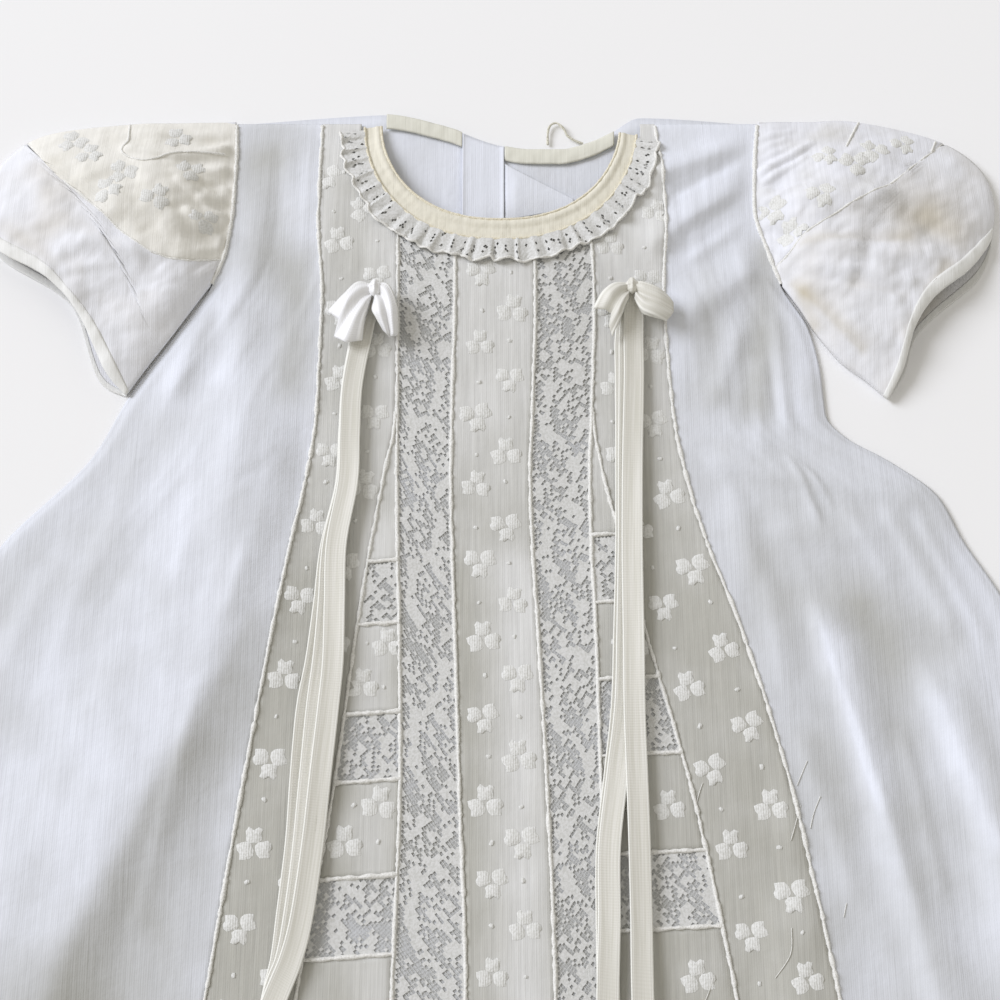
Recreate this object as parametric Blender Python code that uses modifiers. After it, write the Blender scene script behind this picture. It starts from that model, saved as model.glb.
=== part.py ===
"""A baby's christening gown in fine white cotton, laid flat on its back.

The front is upwards, the neck points to +Y and the hem to -Y. The underside is flat on Z = 0.
Tables are in millimetres: x to the viewer's right of the centre line, down from the shoulder line.
"""

import math

import bmesh
import bpy

MM = 0.001
LENGTH = 640.0  # shoulder line to hem
TOP_EDGE = -5.0  # the back of the neck stands this far above the shoulder line
MIDDLE = (LENGTH + TOP_EDGE) / 2  # the distance down that lies at Y = 0
WALL = 1.0  # cloth, as a wall
GAP = 0.3  # between two pieces at a seam
LIE = 0.5  # between a panel and what lies on it
RIBBON_WIDTH = 8.0
BINDING_WIDTH = 4.2  # cuff
SET_IN = 0.8  # the seams round the armholes and the neck, which curve

# The neckline: two rounded arcs, with the neck binding between them.
NECK_X, NECK_DOWN, NECK_ROUND = 1.5, -2.0, 2.25
NECK_IN = (49.8, 50.5)  # half width, depth
NECK_OUT = (57.7, 60.6)
NECK_LIFT = 4.6  # how far the front of the neck stands above the back
NECK_REACH = 42.0  # how far from the neckline that lift dies away
SHOULDER_FADE = 30.0  # the lift starts this gently below the shoulder line
FRILL_DEPTH, FRILL_WAVES, FRILL_RISE = 9.0, 26, 1.7

# Armhole and side edges: (down, x).
LEFT_EDGE = [
    (0, -109.3), (20, -108.4), (40, -108.6), (60, -110.5), (76, -115.8), (100, -130.5),
    (125, -146.0), (150, -158.0), (187, -190.5), (225, -213), (285, -238), (355, -260),
    (480, -289), (LENGTH, -315),
]
RIGHT_EDGE = [
    (0, 109.3), (20, 107.0), (42, 105.8), (60, 110.0), (76, 115.2), (96, 125.6),
    (114, 128.9), (133, 130.0), (142, 137.0), (152, 153.4), (167, 171.6), (185, 179.6),
    (205, 191.0), (240, 207), (285, 224), (355, 249), (480, 283), (LENGTH, 315),
]
ARMHOLE_FOOT = 76.0

# The long seams of the front: x of each one, at these distances down.
SEAM_DOWN = [0, 45, 83, 132, 160, 187, 215, 285, 355, LENGTH]
SEAMS = {
    "strip_left": [-73.4, -73.4, -70.7, -71.2, -74.2, -79.0, -83.5, -93.6, -102.3, -137],
    "ladder_left": [-40.6, -40.4, -40.0, -39.9, -44.2, -48.4, -52.2, -60.2, -70.7, -106],
    "lace_out_left": [-40.6, -40.4, -40.0, -39.4, -38.9, -38.2, -37.0, -35.4, -36.8, -38],
    "lace_in_left": [-17.2, -17.2, -16.9, -17.8, -17.9, -17.2, -16.1, -13.5, -10.9, -12],
    "lace_in_right": [15.0, 15.1, 15.4, 13.9, 12.9, 13.6, 15.2, 18.6, 20.7, 22],
    "lace_out_right": [37.8, 37.9, 39.2, 37.4, 36.2, 36.3, 37.3, 38.4, 40.7, 44],
    "ladder_right": [37.8, 37.9, 39.2, 37.9, 41.8, 48.6, 54.5, 72.0, 84.4, 127],
    "strip_right": [66.2, 69.0, 67.4, 69.6, 74.0, 81.0, 90.5, 108.6, 120.2, 165],
}
LONG_ROWS, YOKE_SHARE = 28, 9 / 28
LADDER_TOP = 132.0
LADDER_LEFT = [LADDER_TOP, 194, 219, 253.5, 279, 314, 342, 384, 418, 470, 512, LENGTH]
LADDER_RIGHT = [LADDER_TOP, 183, 210, 240, 269, 305, 332, 374, 408, 460, 502, LENGTH]

# The largest folds of the front: a soft ridge along each line, with its half width on either side
# of the line as one looks along it, so that one side can be steeper.
FOLD_COLUMNS = ("x1", "down1", "x2", "down2", "half_left", "half_right", "rise")
FRONT_FOLDS = [
    (-90, 130, -96, 209, 34, 13, 4.6),
    (-96, 209, -112, 250, 36, 14, 5.4),
    (-112, 250, -155, 340, 40, 15, 5.8),
    (-155, 340, -215, 600, 46, 16, 6.2),
    (-106, 36, -101, 120, 8, 9, 2.4),
    (-101, 120, -104, 185, 12, 10, 2.2),
    (-118, 86, -128, 124, 5, 5, 2.0),
    (106, 9, 64, 29, 7, 4.5, 2.8),
    (107, 28, 62, 60, 8, 5, 3.2),
    (108, 66, 74, 92, 9, 6, 3.4),
    (84, 153, 112, 160, 4, 6, 1.8),
    (112, 160, 166, 169, 4, 6, 1.8),
    (108, 182, 150, 184, 6, 8, 1.6),
    (121, 212, 140, 286, 4, 12, 3.5),
    (140, 286, 165, 400, 5, 14, 3.5),
    (162, 238, 182, 303, 5, 16, 4.6),
    (182, 303, 225, 600, 8, 20, 5.6),
    (104, 320, 122, 600, 10, 14, 3.0),
]
EDGE_FADE = 16.0  # the front comes down to the back over this width at its edges
REST_RISE, REST_WAVE = 0.8, (31.0, 47.0)  # a faint unevenness, and its wave across and down

# The sleeves as they lie: the top fold, the underarm fold, the cuff's front and back edges as
# (x, down), the seam of the set-in top and the folds in shares (t to the cuff, w to the underarm).
# The puff is in mm, and the slump is the share of it that is lost towards the underarm.
SLEEVE_FOLD_COLUMNS = ("t1", "w1", "t2", "w2", "half_width", "rise")
SLEEVES = {
    "left": {
        "top": [
            (-109.6, 0), (-132, 0.8), (-154, 1.5), (-188, 6.5), (-204, 18), (-212, 34), (-212, 50),
        ],
        "under": [(-116.6, 76), (-124.0, 88), (-131.9, 101), (-139.5, 113), (-146.8, 124.6)],
        "cuff_front": [
            (-212, 50), (-201, 62), (-183.1, 72.7), (-168.9, 87.5), (-159.4, 100.4), (-146.8, 124.6),
        ],
        "cuff_back": [
            (-212, 50), (-202, 64), (-179.4, 78.1), (-169.5, 89.3), (-159, 117), (-146.8, 124.6),
        ],
        "insert": [(0.0, 0.85), (0.27, 0.78), (0.46, 0.69), (0.57, 0.56), (0.62, 0.42), (0.645, 0.28), (0.655, 0.03)],
        "puff": 13.0,
        "slump": 0.42,
        "folds": [
            (0.05, 0.92, 0.62, 0.62, 0.07, 3.2),
            (0.12, 0.70, 0.55, 0.40, 0.06, 2.2),
            (0.35, 0.86, 0.95, 0.78, 0.07, 2.6),
        ],
    },
    "right": {
        "top": [
            (109.6, 0), (130, 0.2), (151, 0.4), (183, 9.0), (200, 22), (204.6, 38), (202.3, 54.5),
        ],
        "under": [
            (116.0, 76), (122.8, 87.5), (128.6, 98.5), (137.0, 110.5), (146.5, 118.3), (154.6, 126.1),
        ],
        "cuff_front": [
            (202.3, 54.5), (197.2, 60.8), (185.9, 72.7), (172.9, 83.1), (165.3, 96.4), (159.9, 114.4),
            (154.6, 126.1),
        ],
        "cuff_back": [
            (202.3, 54.5), (201, 63), (194.2, 74.5), (175.9, 90.2), (167.4, 100.4), (162.6, 114.4),
            (154.6, 126.1),
        ],
        "insert": [(0.0, 0.92), (0.15, 0.77), (0.24, 0.67), (0.38, 0.54), (0.46, 0.44), (0.52, 0.33), (0.60, 0.03)],
        "puff": 12.0,
        "slump": 0.1,
        "folds": [
            (0.05, 0.55, 0.60, 0.36, 0.07, 2.6),
            (0.10, 0.80, 0.80, 0.62, 0.07, 3.2),
            (0.25, 0.95, 0.90, 0.84, 0.06, 2.4),
        ],
    },
}
SLEEVE_LENGTH = 90.0  # from armhole to cuff
GATHERS, GATHER_RISE, GATHER_REACH = 7, 1.3, 0.20
SLEEVE_ROWS, FRONT_COLUMNS, BACK_COLUMNS, INSERT_COLUMNS = 10, 18, 3, 14
FOLD_HEIGHT = 2.6  # of a sleeve at its top and underarm folds

# Ribbons: the layer that each tail lies in, and its centre line as (x, down).
RIBBONS = {
    "ribbon_left_1": (0, [
        (-51.5, 84), (-54.0, 96), (-57.6, 121), (-58.2, 142), (-58.8, 163), (-63.6, 188),
        (-65.4, 211), (-67.6, 233), (-70.2, 251), (-71.6, 277), (-72.4, 302), (-74.6, 327),
        (-76.0, 342), (-78.8, 357), (-83.0, 390), (-86.0, 424),
    ]),
    "ribbon_left_2": (1, [
        (-50.6, 84), (-53.4, 96), (-57.2, 121), (-57.8, 142), (-58.2, 163), (-62.6, 188),
        (-63.6, 211), (-64.8, 233), (-66.6, 251), (-68.2, 277), (-69.6, 302), (-71.8, 327),
        (-74.0, 342), (-78.4, 357), (-84.0, 400),
    ]),
    "ribbon_left_3": (2, [
        (-49.8, 84), (-52.8, 96), (-56.8, 121), (-57.4, 142), (-57.6, 163), (-61.2, 188),
        (-61.2, 211), (-61.0, 233), (-62.2, 251), (-64.2, 277), (-66.2, 302), (-69.0, 327),
        (-72.4, 342), (-78.0, 357), (-90.0, 392),
    ]),
    "ribbon_right_1": (0, [
        (53.4, 82), (51.0, 101), (50.8, 117), (50.2, 150), (49.3, 188), (47.7, 224), (46.2, 251),
        (43.0, 277), (39.8, 302), (39.2, 327), (39.2, 357), (40.0, 400),
    ]),
    "ribbon_right_2": (1, [
        (54.2, 82), (52.6, 101), (52.2, 117), (51.2, 150), (50.2, 188), (48.8, 224), (47.4, 251),
        (43.9, 277), (40.6, 302), (40.0, 327), (38.8, 357), (37.4, 412),
    ]),
    "ribbon_right_3": (2, [
        (55.0, 82), (54.4, 101), (54.2, 117), (52.8, 150), (51.6, 188), (51.2, 224), (50.8, 251),
        (51.1, 277), (51.3, 302), (51.3, 327), (51.0, 357), (51.5, 430),
    ]),
}
RIBBON_STEPS = 26
RIBBON_LAYERS = 3
RIBBON_SLANT = 5.0  # how much longer one side of a cut end is

# Bow loops: the knot, then (degrees from straight down, reach, widest, rise) of each loop.
BOWS = {
    "left": {"knot": (-50.6, 83.0), "loops": [(-38.0, 25.0, 19.0, 6.5), (22.0, 21.0, 13.0, 6.0)]},
    "right": {"knot": (54.2, 80.6), "loops": [(-58.0, 18.0, 15.0, 4.8), (52.0, 18.0, 14.0, 6.0)]},
}
KNOT_SIZE = (4.6, 6.0, 4.4)
LOOP_START, LOOP_NARROW = 3.3, 3.2  # distance from the knot's middle, and width there
LOOP_ROWS, LOOP_STEPS, LOOP_RIPPLE = 6, 12, 0.5

# The back of the neck: (x, down) along its top edge.
BACK_NECK = [
    (-54.0, -4.6), (-47.2, -4.9), (-24.0, 0.2), (1.3, 10.0), (14, 12.0), (26.3, 12.0), (38, 9.0),
    (47.4, 4.2), (60.2, -3.4),
]
BACK_BINDING = 7.0
BINDING_ENDS = (-46.5, 49.0)  # x of its outer ends, clear of the front's binding
PLACKET = (-14.4, 2.8)  # x of its two edges
PLACKET_TOP, PLACKET_FOOT = 1.2, 56.0  # below the neck edge, and down
FLAP = ((PLACKET[1] + GAP, 19.5, 46.5), (32.0, 37.0, 40.5))  # (x, top, foot) at its fold and its tip
TIE = [
    (21.2, 9.6), (21.3, 4.0), (22.4, 0.4), (25.2, -0.6), (28.0, 2.2), (29.4, 5.4), (32.4, 7.6),
    (36.0, 9.0),
]
TIE_RADIUS, TIE_STEPS, TIE_ARCH = 0.55, 14, 0.4

# The edge of the back takes a point every few millimetres where it curves, fewer below.
CURVED_ROWS, STRAIGHT_ROWS = range(4, 208, 4), range(215, int(LENGTH), 25)

MATERIALS = {  # sRGB colour, roughness
    "batiste": ((0.90, 0.90, 0.91), 0.85),
    "clover_batiste": ((0.84, 0.84, 0.81), 0.85),
    "lace": ((0.86, 0.86, 0.84), 0.9),
    "neck_binding": ((0.90, 0.86, 0.78), 0.8),
    "cuff_binding": ((0.92, 0.92, 0.91), 0.85),
    "ribbon": ((0.88, 0.88, 0.83), 0.45),
    "bow_satin": ((0.95, 0.95, 0.95), 0.4),
}


def clear_scene():
    for obj in list(bpy.data.objects):
        bpy.data.objects.remove(obj, do_unlink=True)
    gown = bpy.data.collections.new("christening_gown")
    bpy.context.scene.collection.children.link(gown)
    return gown


def linear(value):
    return value / 12.92 if value <= 0.04045 else ((value + 0.055) / 1.055) ** 2.4


def make_materials():
    made = {}
    for name, (colour, roughness) in MATERIALS.items():
        material = bpy.data.materials.new(name)
        material.use_nodes = True
        shader = material.node_tree.nodes["Principled BSDF"]
        shader.inputs["Base Color"].default_value = [*map(linear, colour), 1.0]
        shader.inputs["Roughness"].default_value = roughness
        shader.inputs["Metallic"].default_value = 0.0
        made[name] = material
    return made


def mix(a, b, t):
    return a + (b - a) * t


def fade(t):
    t = min(max(t, 0.0), 1.0)
    return t * t * (3 - 2 * t)


def curve_value(rows, at):
    """A smooth value through (place, value) rows, which never overshoots them."""
    last = len(rows) - 1
    k = max(i for i in range(last) if i == 0 or rows[i][0] <= at)
    step = [rows[i + 1][0] - rows[i][0] for i in range(last)]
    slope = [(rows[i + 1][1] - rows[i][1]) / step[i] for i in range(last)]

    def tangent(i):
        if i in (0, last):
            return slope[min(i, last - 1)]
        before, after = slope[i - 1], slope[i]
        return 0.0 if before * after <= 0 else 2 * before * after / (before + after)

    t = min(max((at - rows[k][0]) / step[k], 0.0), 1.0)
    low, high = rows[k][1], rows[k + 1][1]
    return (
        low * (1 + 2 * t) * (1 - t) ** 2
        + high * t * t * (3 - 2 * t)
        + step[k] * (tangent(k) * t * (1 - t) ** 2 - tangent(k + 1) * t * t * (1 - t))
    )


def path_point(points, t):
    """The point a share t along a smooth path through (x, down) points."""
    at = [0.0]
    for a, b in zip(points, points[1:]):
        at.append(at[-1] + math.dist(a, b))
    place = t * at[-1]
    last = len(points) - 1
    k = max(i for i in range(last) if i == 0 or at[i] <= place)
    u = (place - at[k]) / (at[k + 1] - at[k])
    before, a, b, after = (points[min(max(k + j, 0), last)] for j in (-1, 0, 1, 2))
    return tuple(
        0.5 * (2 * q + (r - p) * u + (2 * p - 5 * q + 4 * r - s) * u * u + (3 * q - p - 3 * r + s) * u**3)
        for p, q, r, s in zip(before, a, b, after)
    )


def seam(name, down):
    return curve_value(list(zip(SEAM_DOWN, SEAMS[name])), down)


def edge(side, down):
    return curve_value(LEFT_EDGE if side == "left" else RIGHT_EDGE, down)


def neck_down(x, arc):
    """How far down the neckline lies at x."""
    share = min(abs(x - NECK_X) / arc[0], 1.0)
    return NECK_DOWN + arc[1] * (1 - share**NECK_ROUND) ** (1 / NECK_ROUND)


def neck_x(side, down, arc):
    """Where the neckline lies to one side, this far down."""
    share = min(max((down - NECK_DOWN) / arc[1], 0.0), 1.0)
    out = arc[0] * (1 - share**NECK_ROUND) ** (1 / NECK_ROUND)
    return NECK_X + (out if side == "right" else -out)


def neck_ring(angle, arc, beyond=0.0):
    """A point of the neckline by its angle: 0 at the viewer's right shoulder, pi at the left one."""
    c, s = math.cos(angle), math.sin(angle)
    share = abs(c / (arc[0] + beyond)) ** NECK_ROUND + abs(s / (arc[1] + beyond)) ** NECK_ROUND
    reach = share ** (-1 / NECK_ROUND)
    return NECK_X + reach * c, NECK_DOWN + reach * s


def fold_rise(folds, x, down):
    rise = 0.0
    for row in folds:
        fold = dict(zip(FOLD_COLUMNS, row))
        run = (fold["x2"] - fold["x1"], fold["down2"] - fold["down1"])
        long = math.hypot(*run)
        along = ((x - fold["x1"]) * run[0] + (down - fold["down1"]) * run[1]) / long
        across = ((x - fold["x1"]) * run[1] - (down - fold["down1"]) * run[0]) / long
        half = fold["half_left"] if across < 0 else fold["half_right"]
        blur = fold["half_left"] + fold["half_right"]
        ends = fade(0.5 + along / blur) * fade(0.5 + (long - along) / blur)
        rise += fold["rise"] * ends * math.exp(-((across / half) ** 2))
    return rise


def front_height(x, down):
    """Height of the front's underside: it lies on the back, and lifts at the neck and at its folds."""
    share = (abs(x - NECK_X) / NECK_OUT[0]) ** NECK_ROUND
    share += (max(down - NECK_DOWN, 0) / NECK_OUT[1]) ** NECK_ROUND
    from_neck = (share ** (1 / NECK_ROUND) - 1) * NECK_OUT[1]
    neck = NECK_LIFT * math.exp(-((from_neck / NECK_REACH) ** 2)) * fade(down / SHOULDER_FADE)
    side = "left" if x < 0 else "right"
    inside = abs(edge(side, min(max(down, 0), LENGTH))) - abs(x)
    at_edge = fade(inside / EDGE_FADE) * fade(down / EDGE_FADE)
    rest = REST_RISE * (0.5 + 0.5 * math.sin(x / REST_WAVE[0] + down / REST_WAVE[1]))
    return WALL + GAP + neck + at_edge * (rest + fold_rise(FRONT_FOLDS, x, down))


def place(x, down, z):
    return x * MM, (MIDDLE - down) * MM, z * MM


class Gown:
    """Keeps the collection and the materials, and adds finished pieces to them."""

    def __init__(self):
        self.collection = clear_scene()
        self.materials = make_materials()

    def add(self, name, mesh, material):
        mesh.name = name
        mesh.materials.clear()
        mesh.materials.append(self.materials[material])
        obj = bpy.data.objects.new(name, mesh)
        self.collection.objects.link(obj)
        return obj

    def panel(self, name, material, columns, rows, where, thickness=WALL):
        """An open grid whose underside lies where(u, v) says, with v = 0 at its top edge, thickened upwards."""
        bm = bmesh.new()
        bmesh.ops.create_grid(bm, x_segments=columns, y_segments=rows, size=0.5)
        for vert in bm.verts:
            vert.co = place(*where(vert.co.x + 0.5, 0.5 - vert.co.y))
        mesh = bpy.data.meshes.new(name)
        bm.to_mesh(mesh)
        bm.free()
        obj = self.add(name, mesh, material)
        wall = obj.modifiers.new("cloth", "SOLIDIFY")
        wall.thickness = thickness * MM
        wall.offset = 1.0
        wall.use_even_offset = False
        mesh.shade_smooth()
        return obj

    def flat_outline(self, name, material, points, low, thickness=WALL):
        """A flat piece cut to an outline of (x, down) points."""
        curve = bpy.data.curves.new(name, "CURVE")
        curve.dimensions = "2D"
        curve.fill_mode = "BOTH"
        curve.extrude = thickness * MM / 2
        spline = curve.splines.new("POLY")
        spline.points.add(len(points) - 1)
        for point, (x, down) in zip(spline.points, points):
            point.co = (x * MM, (MIDDLE - down) * MM, 0.0, 1.0)
        spline.use_cyclic_u = True
        curve.materials.append(self.materials[material])
        obj = bpy.data.objects.new(name, curve)
        obj.location.z = (low + thickness / 2) * MM
        self.collection.objects.link(obj)
        return obj

    def loft(self, name, material, sections, closed):
        """A wall through sections, each a list of (outer, inner) points. Closed sections are rings."""
        bm = bmesh.new()
        rows = [[[bm.verts.new(place(*p)) for p in pair] for pair in section] for section in sections]
        count = len(rows[0])
        turns = [(j, (j + 1) % count) for j in range(count if closed else count - 1)]
        for a, b in zip(rows, rows[1:]):
            for j, k in turns:
                bm.faces.new((a[j][0], a[k][0], b[k][0], b[j][0]))
                bm.faces.new((a[j][1], b[j][1], b[k][1], a[k][1]))
        for row, turned in ((rows[0], True), (rows[-1], False)):
            for j, k in turns:
                face = (row[j][0], row[k][0], row[k][1], row[j][1])
                bm.faces.new(face if not turned else face[::-1])
        if not closed:
            for j, turned in ((0, False), (count - 1, True)):
                for a, b in zip(rows, rows[1:]):
                    face = (a[j][0], b[j][0], b[j][1], a[j][1])
                    bm.faces.new(face if not turned else face[::-1])
        bmesh.ops.recalc_face_normals(bm, faces=bm.faces)
        mesh = bpy.data.meshes.new(name)
        bm.to_mesh(mesh)
        bm.free()
        mesh.shade_smooth()
        return self.add(name, mesh, material)


def strip_panel(gown, name, material, left, right, columns, rows, foot=LENGTH):
    """A long strip of the front between two seams, cut to the neckline at its top."""
    start = NECK_OUT[1] + NECK_DOWN

    def where(u, v):
        rough = mix(seam(left, start), seam(right, start), u)
        top = neck_down(rough, NECK_OUT) + SET_IN
        down = mix(top, foot, v)
        x = mix(seam(left, down) + GAP / 2, seam(right, down) - GAP / 2, u)
        return x, down, front_height(x, down)

    gown.panel(name, material, columns, rows, where)


def row_down(v):
    """How far down the rows of the shoulder pieces lie: closer together above the underarm."""
    if v < YOKE_SHARE:
        return ARMHOLE_FOOT * v / YOKE_SHARE
    return mix(ARMHOLE_FOOT, LENGTH, ((v - YOKE_SHARE) / (1 - YOKE_SHARE)) ** 1.25)


def clover_band(gown, side):
    """The outer band: from the shoulder, past the neckline, then along the ladder."""
    sign = -1 if side == "left" else 1

    def where(u, v):
        down = row_down(v)
        inner = sign * (seam(f"ladder_{side}", down)) + GAP / 2
        inner = max(inner, sign * neck_x(side, down, NECK_OUT) + SET_IN)
        outer = sign * seam(f"strip_{side}", down) - GAP / 2
        x = mix(-outer, -inner, u) if side == "left" else mix(inner, outer, u)
        return x, down, front_height(x, down)

    gown.panel(f"clover_band_{side}", "clover_batiste", 3, LONG_ROWS, where)


def side_front(gown, side):
    """The plain side of the front, from the outer band to the armhole and the side."""
    sign = -1 if side == "left" else 1

    def where(u, v):
        down = row_down(v)
        inner = sign * seam(f"strip_{side}", down) + GAP / 2
        outer = sign * edge(side, down) - GAP / 2
        x = mix(-outer, -inner, u) if side == "left" else mix(inner, outer, u)
        return x, down, front_height(x, down)

    gown.panel(f"side_front_{side}", "batiste", 9, LONG_ROWS, where)


def ladder(gown, side):
    """The gore of blocks, lace and clover cloth in turn, beside each lace insertion."""
    cuts = LADDER_LEFT if side == "left" else LADDER_RIGHT
    outer, inner = f"ladder_{side}", f"lace_out_{side}"
    left, right = (outer, inner) if side == "left" else (inner, outer)
    for k, (top, foot) in enumerate(zip(cuts, cuts[1:])):
        lace = k % 2 == 1
        first, last = top + GAP / 2 + (6.0 if k == 0 else 0.0), foot - (GAP / 2 if foot < LENGTH else 0.0)

        def where(u, v):
            down = mix(first, last, v)
            x = mix(seam(left, down) + GAP / 2, seam(right, down) - GAP / 2, u)
            return x, down, front_height(x, down)

        name = f"ladder_{side}_{k + 1}_{'lace' if lace else 'clover'}"
        rows = max(2, round((last - first) / 18))
        gown.panel(name, "lace" if lace else "clover_batiste", 2, rows, where)


def back_panel(gown, side):
    """Half of the back, cut to the neck, shoulder, armhole, side and hem, and open at the centre."""
    sign = -1 if side == "left" else 1
    centre = sign * GAP / 2
    neck = [p for p in BACK_NECK if (p[0] - centre) * sign > 0]
    neck.sort(key=lambda p: abs(p[0]))
    middle = curve_value(BACK_NECK, centre)
    outline = [(centre, middle), *neck]
    downs = [0, *CURVED_ROWS, *STRAIGHT_ROWS, LENGTH]
    outline += [(edge(side, down) - sign * GAP / 2, down) for down in downs]
    outline.append((centre, LENGTH))
    gown.flat_outline(f"back_{side}", "batiste", outline, 0.0)


def back_neck(gown):
    """The binding along the back of the neck, the placket's folded edge and its turned-back corner."""
    ends = {"left": (BINDING_ENDS[0], PLACKET[0] - GAP), "right": (PLACKET[1] + GAP, BINDING_ENDS[1])}
    for side, (low, high) in ends.items():

        def where(u, v):
            x = mix(low, high, u)
            return x, curve_value(BACK_NECK, x) + LIE + BACK_BINDING * v, WALL + GAP

        gown.panel(f"neck_binding_back_{side}", "neck_binding", 8, 1, where)

    def placket(u, v):
        x = mix(PLACKET[0], PLACKET[1], u)
        top = curve_value(BACK_NECK, x) + PLACKET_TOP
        return x, mix(top, PLACKET_FOOT, v), WALL + GAP

    gown.panel("back_placket", "batiste", 3, 6, placket)

    def flap(u, v):
        x, top, foot = (mix(a, b, u) for a, b in zip(*FLAP))
        return x, mix(top, foot, v), WALL + GAP + LIE * u

    gown.panel("back_flap", "batiste", 4, 3, flap)

    curve = bpy.data.curves.new("neck_tie", "CURVE")
    curve.dimensions = "3D"
    curve.bevel_depth = TIE_RADIUS * MM
    curve.bevel_resolution = 2
    curve.use_fill_caps = True
    spline = curve.splines.new("POLY")
    spline.points.add(TIE_STEPS)
    for k, point in enumerate(spline.points):
        x, down = path_point(TIE, k / TIE_STEPS)
        arch = TIE_ARCH * math.sin(math.pi * k / TIE_STEPS)
        point.co = (*place(x, down, 1.2 * TIE_RADIUS + arch), 1.0)
    curve.materials.append(gown.materials["neck_binding"])
    gown.collection.objects.link(bpy.data.objects.new("neck_tie", curve))


def neck_front(gown):
    """The bias binding round the front of the neck, and the narrow lace frill outside it."""
    start, end = 0.15, math.pi - 0.08

    def binding(u, v):
        angle = mix(end, start, u)
        x, down = neck_ring(angle, NECK_IN)
        out_x, out_down = neck_ring(angle, NECK_OUT)
        x, down = mix(x, out_x, v), mix(down, out_down, v)
        z = front_height(*neck_ring(angle, NECK_OUT)) + 0.35 * math.sin(math.pi * v)
        return x, down, z

    gown.panel("neck_binding_front", "neck_binding", 32, 2, binding)

    def frill(u, v):
        angle = mix(end - 0.03, start + 0.03, u)
        phase = 2 * math.pi * FRILL_WAVES * u
        x, down = neck_ring(angle, NECK_OUT, 0.8 + FRILL_DEPTH * v * (0.92 + 0.16 * math.sin(phase * 0.37 + 1)))
        wave = FRILL_RISE * (0.25 + 0.75 * v) * (1 - math.cos(phase)) / 2
        return x, down, front_height(x, down) + WALL + LIE + wave

    gown.panel("neck_frill", "lace", 4 * FRILL_WAVES, 2, frill)


def patch(sleeve, t, w, cuff):
    """A point of the sleeve in plan: t from armhole to cuff, w from the top fold to the underarm."""
    side = "left" if sleeve["top"][0][0] < 0 else "right"
    sign = -1 if side == "left" else 1
    hole_down = mix(sleeve["top"][0][1], ARMHOLE_FOOT, w)
    hole = (edge(side, hole_down) + sign * SET_IN / 2, hole_down)
    mouth = path_point(sleeve[cuff], w)
    top, under = path_point(sleeve["top"], t), path_point(sleeve["under"], t)
    first, last = (edge(side, down) + sign * SET_IN / 2 for down in (sleeve["top"][0][1], ARMHOLE_FOOT))
    corners = ((first, sleeve["top"][0][1]), (last, ARMHOLE_FOOT), sleeve["top"][-1], sleeve["under"][-1])
    return tuple(
        (1 - t) * hole[i] + t * mouth[i] + (1 - w) * top[i] + w * under[i]
        - (1 - t) * (1 - w) * corners[0][i] - (1 - t) * w * corners[1][i]
        - t * (1 - w) * corners[2][i] - t * w * corners[3][i]
        for i in (0, 1)
    )


def sleeve_height(sleeve, t, w):
    """Height of the sleeve's front above the surface: a puff, its gathers and its main folds."""
    puff = sleeve["puff"] * (0.10 + 0.90 * fade(t / 0.38)) * (1 - 0.34 * fade((t - 0.45) / 0.55))
    body = math.sin(math.pi * min(max(w, 0.0), 1.0)) ** 0.75 * (1 - sleeve["slump"] * fade((w - 0.4) / 0.45))
    gathers = GATHER_RISE * math.sin(2 * math.pi * GATHERS * w) * math.exp(-((t / GATHER_REACH) ** 2))
    folds = 0.0
    for row in sleeve["folds"]:
        fold = dict(zip(SLEEVE_FOLD_COLUMNS, row))
        run = (fold["t2"] - fold["t1"], fold["w2"] - fold["w1"])
        across = ((w - fold["w1"]) * run[0] - (t - fold["t1"]) * run[1]) / math.hypot(*run)
        ends = fade((t - fold["t1"]) / 0.12 + 0.3) * fade((fold["t2"] - t) / 0.12 + 0.3)
        folds += fold["rise"] * ends * math.exp(-((across / fold["half_width"]) ** 2))
    return FOLD_HEIGHT + body * (puff + folds * 0.7 + gathers * fade(t / 0.04))


def sleeve_section(sleeve, t, first, low_cuff="cuff_back", closed=False):
    """(outer, inner) points of the sleeve's wall at t: over the front, round the underarm and back below."""
    top, under = patch(sleeve, t, 0.0, low_cuff), patch(sleeve, t, 1.0, low_cuff)
    long = math.dist(top, under)
    inset = WALL / long
    points = []
    for k in range(FRONT_COLUMNS + 1):
        w = mix(first, 1.0, k / FRONT_COLUMNS)
        z = sleeve_height(sleeve, t, w)
        inner = min(max(w, inset if closed else w), 1 - inset)
        outside = (*patch(sleeve, t, w, "cuff_front"), z)
        points.append((outside, (*patch(sleeve, t, inner, "cuff_front"), z - WALL)))
    for k in range(BACK_COLUMNS + 1):
        w = 1 - k / BACK_COLUMNS
        inner = min(max(w, inset), 1 - inset)
        points.append(((*patch(sleeve, t, w, low_cuff), 0.0), (*patch(sleeve, t, inner, low_cuff), WALL)))
    if not closed:
        points.append(((*top, FOLD_HEIGHT), (*patch(sleeve, t, inset, low_cuff), FOLD_HEIGHT)))
    return points


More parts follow.
